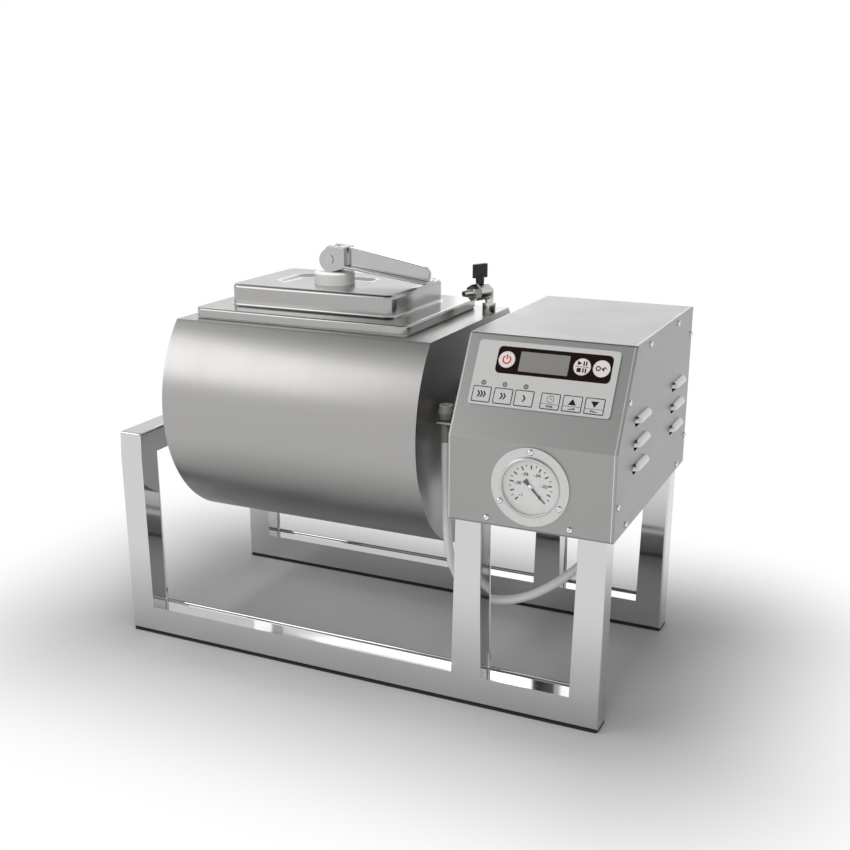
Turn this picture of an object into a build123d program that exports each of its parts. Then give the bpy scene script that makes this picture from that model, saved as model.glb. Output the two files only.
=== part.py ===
from build123d import *
import os
from math import atan2, cos, degrees, hypot, radians, sin, sqrt, tan

os.makedirs("parts", exist_ok=True)

# A bench top vacuum tumbler for meat. A drum with a flat clamped lid turns about a level axis,
# between a pillow block on a low square tube stand and a drive box on four taller posts.
# Lengths are in millimetres. X runs along the drum axis, Y to the back and Z up.
# Places are worked out from the left front corner of the stand and then moved to the middle.

# Stand
frame_depth = 300.0
tube_size = 30.0
tube_wall = 1.5
tube_corner = 2.5
left_height = 255.0
drive_width = 165.0
foot_height = 3.0
foot_corner = 4.0
vent_diameter = 5.0

# Pillow block on the left cross tube
pillow_height = 33.3
pillow_length = 127.0
pillow_width = 34.0
pillow_base = 14.0
pillow_radius = 31.0
pillow_corner = 5.0
pillow_bolt_centre_width = 95.0
pillow_bolt = 10.0
bolt_head = 17.0
bolt_head_height = 6.4
bolt_washer = 2.0
bearing_diameter = 42.0
bearing_collar = 34.0
bearing_collar_stand = 3.0
running_fit = 0.05

# Drum
drum_radius = 154.0
drum_length = 323.0
drum_left_gap = 38.0
drum_right_gap = 36.5
drum_wall = 1.5
end_wall = 3.0
flat_share = 0.66234
flat_wall = 2.0
mouth_inset = 39.0
mouth_side_inset = 35.0
mouth_corner = 18.0
mouth_rim = 5.0
mouth_rim_wall = 1.5
baffle_height = 26.0
baffle_base = 34.0
baffle_wall = 1.5
baffle_gap = 12.0
baffle_angles = (-150, -90, -30)
hub_diameter = 78.0
hub_wall = 6.0
left_shaft_diameter = 20.0
right_shaft_diameter = 25.0
hub_bolt_circle_diameter = 56.0
hub_bolt = 6.0

# Vent valve on the flat of the drum
valve_from_end = 8.5
valve_back = 72.0
valve_turn = 27.0
socket_diameter = 16.0
socket_height = 13.0
pipe_diameter = 10.4
valve_height = 26.5
barrel_diameter = 20.0
barrel_start = 5.0
barrel_end = 20.0
hex_across = 17.0
hex_end = 28.0
barb_end = 40.0
barb_diameter = 9.0
barb_step = 1.2
valve_bore = 5.0
knob_from_pipe = 15.0
stem_diameter = 6.0
stem_height = 20.0
knob_length = 21.5
knob_height = 16.0
knob_thickness = 6.0
knob_collar = 10.0

# Lid
lid_left_margin = 13.0
lid_right_margin = 34.5
lid_side_margin = 13.9
lid_corner = 10.0
lid_wall = 1.5
lid_stand = 2.0
lid_base = 10.0
lid_base_edge = 2.6
dome_inset = 32.0
dome_side_inset = 30.5
dome_corner = 8.0
dome_height = 25.5
dome_edge = 4.5
pocket_length = 100.0
pocket_width = 53.0
pocket_corner = 8.0
pocket_depth = 3.0
pocket_shift = 8.75
gasket_width = 11.0
gasket_corner = 4.0
gasket_setback = 1.0

# Cam clamp through the lid
clamp_shift = 4.75
washer_diameter = 48.0
washer_height = 14.5
washer_edge = 2.5
stud_diameter = 10.0
stud_clear = 0.4
bar_overlap = 12.0
bar_width = 24.0
bar_height = 8.0
bar_edge = 3.0
bar_gap = 0.3
cam_radius = 14.6
cam_drop = 2.0
cam_range = 130.0
cam_clear = 0.3
pin_diameter = 8.0
pin_head = 11.0
pin_head_height = 1.5
eye_radius = 9.0
eye_thickness = 9.6
slot_clear = 0.4
lever_width = 26.0
lever_head = 19.5
lever_head_high = 16.3
lever_head_back = 1.5
lever_head_low = 8.2
lever_length = 125.0
lever_slope = 7.0
lever_sole = 7.0
lever_root = 24.0
lever_tip = 18.6
lever_web = 6.0
lever_flange = 3.0
lever_edge = 1.0
lever_tip_round = 6.0

# Drive box
box_overhang = 7.5
box_front = 2.0
skin = 1.0
box_bottom = 212.0
box_fold = 304.0
box_top = 402.0
box_slant_depth = 57.0
bend = 2.5
side_flange = 14.0
pan_flange = 15.0
louvre_length = 50.0
louvre_radius = 6.5
louvre_pitch = 25.5
louvre_low = 60.0
louvre_column_shares = (0.273, 0.796)
screw_head = 7.0
screw_head_height = 2.2
screw_head_edge = 0.8
screw_shank = 4.0
screw_length = 7.0
screw_inset = 7.0
front_screws = (44.0, 134.0)
front_screw_height = 8.0
low_screw_front = 43.0
low_screw_back = 38.0
back_screw_inset = 5.0
back_screw_shares = (0.185, 0.833)
roof_screw_shares = (0.352, 0.7566)
slant_screw_share = 0.5

# Keypad on the slanted face
pad_left = 14.0
pad_low = 35.5
pad_length = 151.0
pad_width = 70.0
pad_corner = 4.0
pad_thickness = 2.0
round_key = 17.6
square_key_length = 18.4
square_key_width = 15.2
square_key_corner = 1.5
key_thickness = 1.5
key_proud = 0.2
key_travel = 0.4
key_clear = 0.3
display_length = 52.2
display_width = 21.0
led_diameter = 3.6
round_key_shares = (("key_power", 0.2205, 0.7214), ("key_start", 0.7517, 0.7214),
                    ("key_vacuum", 0.8854, 0.7214))
square_key_shares = (("key_fast", 0.0897, 0.1614), ("key_medium", 0.2447, 0.1614),
                     ("key_slow", 0.3960, 0.1614), ("key_timer", 0.5811, 0.1614),
                     ("key_up", 0.7341, 0.1614), ("key_down", 0.8864, 0.1614))
display_share = (0.4874, 0.7143)
led_shares = ((0.0897, 0.3400), (0.2434, 0.3400), (0.3947, 0.3400))

# Vacuum gauge
gauge_from_left = 91.0
gauge_above_bottom = 48.0
flange_diameter = 83.5
flange_thickness = 2.0
bezel_diameter = 64.0
bezel_stand = 3.0
bezel_edge = 1.5
case_diameter = 61.5
case_wall = 1.25
case_depth = 30.0
gauge_stem = 10.0
gauge_stem_length = 14.0
dial_thickness = 1.0
dial_setback = 3.0
glass_thickness = 1.6
glass_setback = 0.8
pointer_length = 19.0
pointer_tail = 9.0
pointer_width = 3.2
pointer_tail_width = 4.6
pointer_thickness = 0.8
pointer_gap = 0.6
pointer_hub = 7.0
pointer_pin = 2.0
pointer_pin_clear = 0.3
pointer_rest = -46.0
gauge_screw_circle_diameter = 74.0
gauge_screw_angles = (90, 210, 330)

# Drive and vacuum inside the box
deck_height = 245.0
deck_thickness = 3.0
deck_margin = 8.0
gearbox_from_left = 19.0
gearbox_length = 60.0
gearbox_width = 84.0
gearbox_height = 84.0
gearbox_edge = 6.0
boss_diameter = 46.0
motor_diameter = 68.0
motor_back_gap = 14.0
motor_cap = 5.0
motor_fin_count = 16
motor_fin_height = 2.0
pump_length = 52.0
pump_width = 118.0
pump_height = 54.0
pump_edge = 5.0
pump_head = 40.0
pump_head_height = 18.0
pump_from_right = 10.0
board_length = 140.0
board_width = 78.0
board_thickness = 1.6
board_spacer = 10.0
board_spacer_diameter = 6.0
board_part_height = 9.0
inlet_length = 48.0
inlet_width = 30.0
inlet_stand = 3.0
inlet_depth = 24.0
inlet_socket_length = 26.0
inlet_socket_width = 18.0
inlet_from_right = 80.0
inlet_above_bottom = 58.0
inlet_pin_length = 14.0
inlet_pin_width = 4.0
inlet_pin_thickness = 2.0
inlet_pin_pitch = 7.0

# Suction hose
hose_diameter = 10.0
coupling_diameter = 15.0
coupling_height = 15.0
coupling_neck = 10.0
coupling_neck_length = 8.0
coupling_ring = 17.0
coupling_ring_height = 4.0
coupling_barb_length = 16.0
holder_height = 304.5
holder_length = 32.0
holder_width = 34.0
holder_thickness = 2.0
holder_tab = 18.0
holder_corner = 6.0
hose_from_box = 23.5
hose_from_front = 47.0
outlet_from_left = 134.0
outlet_from_front = 100.0
outlet_hex = 16.0
outlet_hex_height = 6.0
outlet_barb_length = 12.0
# Bends of the hose, as shares of its way from the coupling to the outlet along X and Y, and of the
# outlet's height above the floor
hose_bend_shares = ((0.0, 0.0, 1.1574), (0.0095, 0.0283, 0.8782), (0.0381, 0.1321, 0.6751),
                    (0.1333, 0.3585, 0.5228), (0.3048, 0.6038, 0.4619), (0.5079, 0.7736, 0.4924),
                    (0.6984, 0.8868, 0.5838), (0.8698, 0.9623, 0.7056), (1.0, 1.0, 0.8477))
bend_reach_share = 0.45

# Cuts run past the faces that they pass through by this much
overrun = 1.0

# Places that follow from the sizes
drum_left = tube_size + drum_left_gap
drum_right = drum_left + drum_length
drive_left = drum_right + drum_right_gap + box_overhang
frame_length = drive_left + drive_width
box_left = drive_left - box_overhang
box_right = frame_length + box_overhang
box_length = box_right - box_left
box_back = frame_depth + box_front
box_low = foot_height + box_bottom
box_high = foot_height + box_top
fold_z = foot_height + box_fold
slant_back = box_slant_depth - box_front
rail_top = foot_height + tube_size
left_top = foot_height + left_height
deck_z = foot_height + deck_height
axis_y = frame_depth / 2
block_x = pillow_width / 2
axis_z = left_top + pillow_height
flat_height = flat_share * drum_radius
flat_z = axis_z + flat_height
flat_half = sqrt(drum_radius ** 2 - flat_height ** 2)
lid_length = drum_length - lid_left_margin - lid_right_margin
lid_width = 2 * (flat_half - lid_side_margin)
dome_length = lid_length - 2 * dome_inset
dome_width = lid_width - 2 * dome_side_inset
mouth_length = lid_length - 2 * mouth_inset
mouth_width = lid_width - 2 * mouth_side_inset
bar_length = mouth_width + 2 * bar_overlap
lid_x = drum_left + lid_left_margin + lid_length / 2
clamp_x = lid_x - clamp_shift
lid_z = flat_z + lid_stand
dome_z = lid_z + lid_base + dome_height
pocket_z = dome_z - pocket_depth
washer_top = pocket_z + washer_height
pivot_z = washer_top + cam_clear + cam_radius
bar_top = flat_z - flat_wall - bar_gap
valve_x = drum_right - valve_from_end
valve_y = axis_y + valve_back
valve_z = flat_z + valve_height
gauge_x = box_left + gauge_from_left
gauge_z = box_low + gauge_above_bottom
gauge_front = box_front + flange_thickness + bezel_stand
hose_x = box_left - hose_from_box
hose_y = hose_from_front
holder_z = foot_height + holder_height
outlet_x = box_left + outlet_from_left
outlet_y = outlet_from_front
mid_x = (box_right + louvre_radius) / 2
mid_y = (box_back + inlet_stand - gauge_front) / 2


def place(x, y, z):
    # A point of the machine, measured from the stand's left front corner, in the part's frame
    return Vector(x - mid_x, y - mid_y, z)


def level(x, y, z):
    return Plane(origin=place(x, y, z))


def facing_front(x, y, z):
    # The sketch's X is the machine's X and its Y is up. Its normal looks to the front.
    return Plane(origin=place(x, y, z), x_dir=(1, 0, 0), z_dir=(0, -1, 0))


def facing_back(x, y, z):
    return Plane(origin=place(x, y, z), x_dir=(-1, 0, 0), z_dir=(0, 1, 0))


def facing_right(x, y, z):
    # The sketch's X runs to the back and its Y is up. Its normal looks to the right.
    return Plane(origin=place(x, y, z), x_dir=(0, 1, 0), z_dir=(1, 0, 0))


def save(piece, name):
    piece.part.label = name
    export_step(piece.part, "parts/" + name + ".step")
    return piece.part


# Stand: two floor rails, two short posts, a cross tube and four drive posts
def rail(y):
    tube = facing_right(0, y + tube_size / 2, foot_height + tube_size / 2)
    inner = facing_right(tube_wall, y + tube_size / 2, foot_height + tube_size / 2)
    with BuildPart() as piece:
        with BuildSketch(tube):
            RectangleRounded(tube_size, tube_size, tube_corner)
        extrude(amount=frame_length)
        with BuildSketch(inner):
            RectangleRounded(tube_size - 2 * tube_wall, tube_size - 2 * tube_wall, tube_corner - tube_wall)
        extrude(amount=frame_length - 2 * tube_wall, mode=Mode.SUBTRACT)
        # Small vent holes under the closed ends, as a welded tube has
        with BuildSketch(level(frame_length / 2, y + tube_size / 2, foot_height)):
            with GridLocations(frame_length - 2 * tube_size, 0, 2, 1):
                Circle(vent_diameter / 2)
        extrude(amount=tube_wall, mode=Mode.SUBTRACT)
    return piece


def post(x, y, top, capped):
    with BuildPart() as piece:
        with BuildSketch(level(x + tube_size / 2, y + tube_size / 2, rail_top)):
            RectangleRounded(tube_size, tube_size, tube_corner)
        extrude(amount=top - rail_top)
        with BuildSketch(level(x + tube_size / 2, y + tube_size / 2, rail_top)):
            RectangleRounded(tube_size - 2 * tube_wall, tube_size - 2 * tube_wall, tube_corner - tube_wall)
        extrude(amount=top - rail_top - (tube_wall if capped else 0), mode=Mode.SUBTRACT)
    return piece


save(rail(0), "front_rail")
save(rail(frame_depth - tube_size), "rear_rail")
save(post(0, 0, left_top, True), "left_front_post")
save(post(0, frame_depth - tube_size, left_top, True), "left_rear_post")
save(post(drive_left, 0, deck_z, False), "drive_front_left_post")
save(post(frame_length - tube_size, 0, deck_z, False), "drive_front_right_post")
save(post(drive_left, frame_depth - tube_size, deck_z, False), "drive_rear_left_post")
save(post(frame_length - tube_size, frame_depth - tube_size, deck_z, False), "drive_rear_right_post")

cross_plane = facing_back(tube_size / 2, tube_size, left_top - tube_size / 2)
with BuildPart() as cross_tube:
    with BuildSketch(cross_plane):
        RectangleRounded(tube_size, tube_size, tube_corner)
        RectangleRounded(tube_size - 2 * tube_wall, tube_size - 2 * tube_wall, tube_corner - tube_wall,
                         mode=Mode.SUBTRACT)
    extrude(amount=frame_depth - 2 * tube_size)
    with BuildSketch(level(block_x, axis_y, left_top)):
        with GridLocations(0, pillow_bolt_centre_width, 1, 2):
            Circle(pillow_bolt / 2)
    extrude(amount=-tube_wall, mode=Mode.SUBTRACT)
save(cross_tube, "left_cross_tube")

# Rubber strips under the two rails
with BuildPart() as foot_strips:
    with BuildSketch(level(frame_length / 2, axis_y, 0)):
        with GridLocations(0, frame_depth - tube_size, 1, 2):
            RectangleRounded(frame_length, tube_size, foot_corner)
    extrude(amount=foot_height)
save(foot_strips, "foot_strips")

# Pillow block with its bearing, and the two bolts that hold it to the cross tube
with BuildPart() as pillow_block:
    with BuildSketch(facing_right(block_x - pillow_width / 2, axis_y, left_top)):
        with BuildLine():
            Polyline((-pillow_length / 2, 0), (pillow_length / 2, 0), (pillow_length / 2, pillow_base),
                     (pillow_radius, pillow_base), (pillow_radius, pillow_height),
                     (-pillow_radius, pillow_height), (-pillow_radius, pillow_base),
                     (-pillow_length / 2, pillow_base), close=True)
        make_face()
        with Locations((0, pillow_height)):
            Circle(pillow_radius)
            Circle(bearing_diameter / 2, mode=Mode.SUBTRACT)
    extrude(amount=pillow_width)
    with BuildSketch(level(block_x, axis_y, left_top + pillow_base)):
        with GridLocations(0, pillow_bolt_centre_width, 1, 2):
            Circle(pillow_bolt / 2)
    extrude(amount=-pillow_base, mode=Mode.SUBTRACT)
    shoulder = pillow_block.edges().filter_by(Axis.X)
    shoulder_z = left_top + pillow_base
    fillet(shoulder.filter_by_position(Axis.Z, shoulder_z, shoulder_z), pillow_corner)
save(pillow_block, "pillow_block")

with BuildPart() as pillow_bolts:
    with BuildSketch(level(block_x, axis_y, left_top + pillow_base)):
        with GridLocations(0, pillow_bolt_centre_width, 1, 2):
            Circle(bolt_head / 2 + bolt_washer)
    extrude(amount=bolt_washer)
    with BuildSketch(level(block_x, axis_y, left_top + pillow_base + bolt_washer)):
        with GridLocations(0, pillow_bolt_centre_width, 1, 2):
            RegularPolygon(bolt_head / 2, 6)
    extrude(amount=bolt_head_height)
    with BuildSketch(level(block_x, axis_y, left_top + pillow_base)):
        with GridLocations(0, pillow_bolt_centre_width, 1, 2):
            Circle(pillow_bolt / 2)
    extrude(amount=-(pillow_base + 2 * tube_wall + bolt_head_height))
save(pillow_bolts, "pillow_bolts")


# Drum: a rolled shell closed by two end plates and a flat plate with the mouth
def drum_disc(radius, top):
    # A disc that is cut off level at the given height above the axis
    Circle(radius)
    with Locations((0, top + radius)):
        Rectangle(4 * radius, 2 * radius, mode=Mode.SUBTRACT)


shell_top = flat_height - flat_wall
with BuildPart() as drum_shell:
    with BuildSketch(facing_right(drum_left, axis_y, axis_z)):
        drum_disc(drum_radius, shell_top)
        Circle(drum_radius - drum_wall, mode=Mode.SUBTRACT)
    extrude(amount=drum_length)
save(drum_shell, "drum_shell")


def drum_end(x):
    with BuildPart() as piece:
        with BuildSketch(facing_right(x, axis_y, axis_z)):
            drum_disc(drum_radius - drum_wall, shell_top)
        extrude(amount=end_wall)
    return piece


save(drum_end(drum_left), "drum_left_end")
save(drum_end(drum_right - end_wall), "drum_right_end")

mouth_plane = level(lid_x, axis_y, flat_z - flat_wall)
with BuildPart() as mouth_plate:
    with BuildSketch(facing_right(drum_left, axis_y, axis_z)):
        Circle(drum_radius)
        with Locations((0, shell_top - drum_radius)):
            Rectangle(4 * drum_radius, 2 * drum_radius, mode=Mode.SUBTRACT)
        with Locations((0, flat_height + drum_radius)):
            Rectangle(4 * drum_radius, 2 * drum_radius, mode=Mode.SUBTRACT)
    extrude(amount=drum_length)
    with BuildSketch(mouth_plane):
        RectangleRounded(mouth_length, mouth_width, mouth_corner)
    extrude(amount=flat_wall, mode=Mode.SUBTRACT)
    # A turned up rim stiffens the mouth and centres the gasket
    with BuildSketch(mouth_plane):
        RectangleRounded(mouth_length + 2 * mouth_rim_wall, mouth_width + 2 * mouth_rim_wall,
                         mouth_corner + mouth_rim_wall)
        RectangleRounded(mouth_length, mouth_width, mouth_corner, mode=Mode.SUBTRACT)
    extrude(amount=flat_wall + mouth_rim)
    with BuildSketch(level(valve_x, valve_y, flat_z - flat_wall)):
        Circle(valve_bore / 2)
    extrude(amount=flat_wall, mode=Mode.SUBTRACT)
save(mouth_plate, "mouth_plate")

# Three folded lifting ribs inside the shell turn the meat over
baffle_length = drum_length - 2 * end_wall - 2 * baffle_gap
baffle_seat = sqrt((drum_radius - drum_wall) ** 2 - (baffle_base / 2) ** 2)
with BuildPart() as baffles:
    with BuildSketch(facing_right(drum_left + end_wall + baffle_gap, axis_y, axis_z)) as rib:
        with BuildLine():
            Polyline((-baffle_base / 2, -baffle_seat), (0, baffle_height - baffle_seat),
                     (baffle_base / 2, -baffle_seat), (baffle_base / 2 - 2 * baffle_wall, -baffle_seat),
                     (0, baffle_height - baffle_seat - 2 * baffle_wall),
                     (2 * baffle_wall - baffle_base / 2, -baffle_seat), close=True)
        make_face()
    extrude(amount=baffle_length)
baffle_bodies = []
axle = Axis(place(0, axis_y, axis_z), (1, 0, 0))
for angle in baffle_angles:
    turned = baffles.part.rotate(axle, angle + 90)
    baffle_bodies.append(turned.solids()[0])
with BuildPart() as baffle_set:
    add(baffle_bodies)
save(baffle_set, "baffles")

# Stub shafts on flanged hubs, welded to the end plates. The left one runs in the pillow block
# and the right one carries the drum in the hollow gearbox.
with BuildPart() as left_shaft:
    with BuildSketch(facing_right(drum_left - hub_wall, axis_y, axis_z)):
        Circle(hub_diameter / 2)
        with PolarLocations(hub_bolt_circle_diameter / 2, 6):
            Circle(hub_bolt / 2, mode=Mode.SUBTRACT)
    extrude(amount=hub_wall)
    with BuildSketch(facing_right(0, axis_y, axis_z)):
        Circle(left_shaft_diameter / 2)
    extrude(amount=drum_left - hub_wall)
save(left_shaft, "left_shaft")

collar_left = block_x - pillow_width / 2
with BuildPart() as bearing_insert:
    with BuildSketch(facing_right(collar_left, axis_y, axis_z)):
        Circle(bearing_diameter / 2 - running_fit)
        Circle(left_shaft_diameter / 2, mode=Mode.SUBTRACT)
    extrude(amount=pillow_width)
    with BuildSketch(facing_right(collar_left + pillow_width, axis_y, axis_z)):
        Circle(bearing_collar / 2)
        Circle(left_shaft_diameter / 2, mode=Mode.SUBTRACT)
    extrude(amount=bearing_collar_stand)
save(bearing_insert, "bearing_insert")

gearbox_left = box_left + gearbox_from_left
right_shaft_end = gearbox_left + gearbox_length
with BuildPart() as right_shaft:
    with BuildSketch(facing_right(drum_right, axis_y, axis_z)):
        Circle(hub_diameter / 2)
        with PolarLocations(hub_bolt_circle_diameter / 2, 6):
            Circle(hub_bolt / 2, mode=Mode.SUBTRACT)
    extrude(amount=hub_wall)
    with BuildSketch(facing_right(drum_right + hub_wall, axis_y, axis_z)):
        Circle(right_shaft_diameter / 2)
    extrude(amount=right_shaft_end - drum_right - hub_wall)
save(right_shaft, "right_shaft")

# Vent valve: a welded socket, a short pipe, an elbow and a small ball valve with a hose barb
valve_angle = radians(valve_turn)
valve_dir = Vector(-sin(valve_angle), -cos(valve_angle), 0)
barrel_plane = Plane(origin=place(valve_x, valve_y, valve_z), x_dir=(0, 0, 1), z_dir=valve_dir)
with BuildPart() as valve_body:
    with BuildSketch(level(valve_x, valve_y, flat_z)):
        Circle(socket_diameter / 2)
    extrude(amount=socket_height)
    with BuildSketch(level(valve_x, valve_y, flat_z)):
        Circle(pipe_diameter / 2)
    extrude(amount=valve_height)
    with Locations(barrel_plane.location):
        Sphere(pipe_diameter / 2)
    with BuildSketch(barrel_plane):
        Circle(pipe_diameter / 2)
    extrude(amount=barrel_start)
    with BuildSketch(barrel_plane.offset(barrel_start)):
        Circle(barrel_diameter / 2)
    extrude(amount=barrel_end - barrel_start)
    with BuildSketch(barrel_plane.offset(barrel_end)):
        RegularPolygon(hex_across / 2, 6, major_radius=False)
    extrude(amount=hex_end - barrel_end)
    with BuildSketch(barrel_plane.offset(hex_end)):
        Circle(barb_diameter / 2 - barb_step)
    extrude(amount=barb_end - hex_end)
    for step in range(2):
        with BuildSketch(barrel_plane.offset(barb_end - (step + 1) * (barb_end - hex_end) / 2)):
            Circle(barb_diameter / 2)
        extrude(amount=(barb_end - hex_end) / 2, taper=degrees(atan2(barb_step, (barb_end - hex_end) / 2)))
    with BuildSketch(level(valve_x, valve_y, flat_z)):
        Circle(valve_bore / 2)
    extrude(amount=valve_height, mode=Mode.SUBTRACT)
    with BuildSketch(barrel_plane):
        Circle(valve_bore / 2)
    extrude(amount=barb_end, mode=Mode.SUBTRACT)
    # Bore for the stem of the knob
    with BuildSketch(Plane(origin=place(valve_x, valve_y, valve_z) + valve_dir * knob_from_pipe)):
        Circle(stem_diameter / 2 + running_fit)
    extrude(amount=barrel_diameter, mode=Mode.SUBTRACT)
save(valve_body, "valve_body")

knob_base = Plane(origin=place(valve_x, valve_y, valve_z) + valve_dir * knob_from_pipe,
                  x_dir=valve_dir, z_dir=(0, 0, 1))
with BuildPart() as valve_knob:
    with BuildSketch(knob_base.offset(running_fit)):
        Circle(stem_diameter / 2)
    extrude(amount=stem_height - running_fit)
    with BuildSketch(knob_base.offset(barrel_diameter / 2 + key_clear)):
        Circle(knob_collar / 2)
    extrude(amount=stem_height - barrel_diameter / 2 - key_clear)
    with BuildSketch(knob_base.offset(stem_height - knob_thickness / 2)):
        SlotOverall(knob_length, knob_thickness)
    extrude(amount=knob_height)
    fillet(valve_knob.edges().group_by(Axis.Z)[-1], knob_thickness / 6)
save(valve_knob, "valve_knob")

# Lid: a pressed pan with a raised middle and a shallow pocket for the clamp's washer
lid_plane = level(lid_x, axis_y, lid_z)
with BuildPart() as lid_shell:
    with BuildSketch(lid_plane):
        RectangleRounded(lid_length, lid_width, lid_corner)
    extrude(amount=lid_base)
    fillet(lid_shell.edges().group_by(Axis.Z)[-1], lid_base_edge)
    with BuildSketch(lid_plane.offset(lid_base)):
        RectangleRounded(dome_length, dome_width, dome_corner)
    extrude(amount=dome_height)
    fillet(lid_shell.edges().group_by(Axis.Z)[-1], dome_edge)
    with BuildSketch(lid_plane):
        RectangleRounded(lid_length - 2 * lid_wall, lid_width - 2 * lid_wall, lid_corner - lid_wall)
    extrude(amount=lid_base - 2 * lid_wall, mode=Mode.SUBTRACT)
    with BuildSketch(lid_plane):
        RectangleRounded(dome_length - 2 * dome_edge, dome_width - 2 * dome_edge, dome_corner - lid_wall)
    extrude(amount=lid_base + dome_height - lid_wall, mode=Mode.SUBTRACT)
    with BuildSketch(level(lid_x - pocket_shift, axis_y, pocket_z - lid_wall)):
        RectangleRounded(pocket_length + 2 * lid_wall, pocket_width + 2 * lid_wall, pocket_corner + lid_wall)
    extrude(amount=dome_z - pocket_z + lid_wall)
    with BuildSketch(level(lid_x - pocket_shift, axis_y, pocket_z)):
        RectangleRounded(pocket_length, pocket_width, pocket_corner)
    extrude(amount=pocket_depth, mode=Mode.SUBTRACT)
    with BuildSketch(level(clamp_x, axis_y, pocket_z)):
        Circle(stud_diameter / 2 + stud_clear)
    extrude(amount=-lid_wall, mode=Mode.SUBTRACT)
save(lid_shell, "lid_shell")

gasket_length = lid_length - 2 * lid_wall
gasket_depth = lid_width - 2 * lid_wall
lip_length = gasket_length - 2 * gasket_setback
lip_depth = gasket_depth - 2 * gasket_setback
with BuildPart() as lid_gasket:
    # The part inside the pan fills it to the wall, and the lip below the pan is set back
    with BuildSketch(level(lid_x, axis_y, lid_z)):
        RectangleRounded(gasket_length, gasket_depth, lid_corner - lid_wall)
        RectangleRounded(gasket_length - 2 * gasket_width, gasket_depth - 2 * gasket_width, gasket_corner,
                         mode=Mode.SUBTRACT)
    extrude(amount=lid_base - 2 * lid_wall)
    with BuildSketch(level(lid_x, axis_y, flat_z)):
        RectangleRounded(lip_length, lip_depth, lid_corner - lid_wall - gasket_setback)
        RectangleRounded(gasket_length - 2 * gasket_width, gasket_depth - 2 * gasket_width, gasket_corner,
                         mode=Mode.SUBTRACT)
    extrude(amount=lid_stand)
save(lid_gasket, "lid_gasket")

# Clamp: a nylon washer on the lid, a stud with a cross bar under the mouth, and a cam lever
with BuildPart() as clamp_washer:
    with BuildSketch(level(clamp_x, axis_y, pocket_z)):
        Circle(washer_diameter / 2)
        Circle(stud_diameter / 2 + stud_clear, mode=Mode.SUBTRACT)
    extrude(amount=washer_height)
    fillet(clamp_washer.edges().filter_by(GeomType.CIRCLE).group_by(SortBy.RADIUS)[-1].group_by(Axis.Z)[-1],
           washer_edge)
save(clamp_washer, "clamp_washer")

# The flat neck under the eye stays above the washer when the stud has sunk
eye_neck = cam_radius - cam_drop - cam_clear
with BuildPart() as clamp_stud:
    with BuildSketch(level(clamp_x, axis_y, bar_top)):
        Circle(stud_diameter / 2)
    extrude(amount=pivot_z - eye_radius - bar_top)
    with BuildSketch(facing_front(clamp_x, axis_y + eye_thickness / 2, pivot_z)):
        Circle(eye_radius)
        with Locations((0, -eye_neck / 2)):
            Rectangle(stud_diameter, eye_neck)
        Circle(pin_diameter / 2 + running_fit, mode=Mode.SUBTRACT)
    extrude(amount=eye_thickness)
save(clamp_stud, "clamp_stud")

with BuildPart() as clamp_bar:
    with BuildSketch(facing_right(clamp_x - bar_width / 2, axis_y, bar_top)):
        with BuildLine():
            Polyline((-bar_length / 2, 0), (bar_length / 2, 0), (bar_length / 2, -bar_edge),
                     (bar_length / 2 - 2 * bar_height, -bar_height),
                     (2 * bar_height - bar_length / 2, -bar_height), (-bar_length / 2, -bar_edge), close=True)
        make_face()
    extrude(amount=bar_width)
    fillet(clamp_bar.edges().filter_by(Axis.Z), bar_edge)
save(clamp_bar, "clamp_bar")

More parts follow.
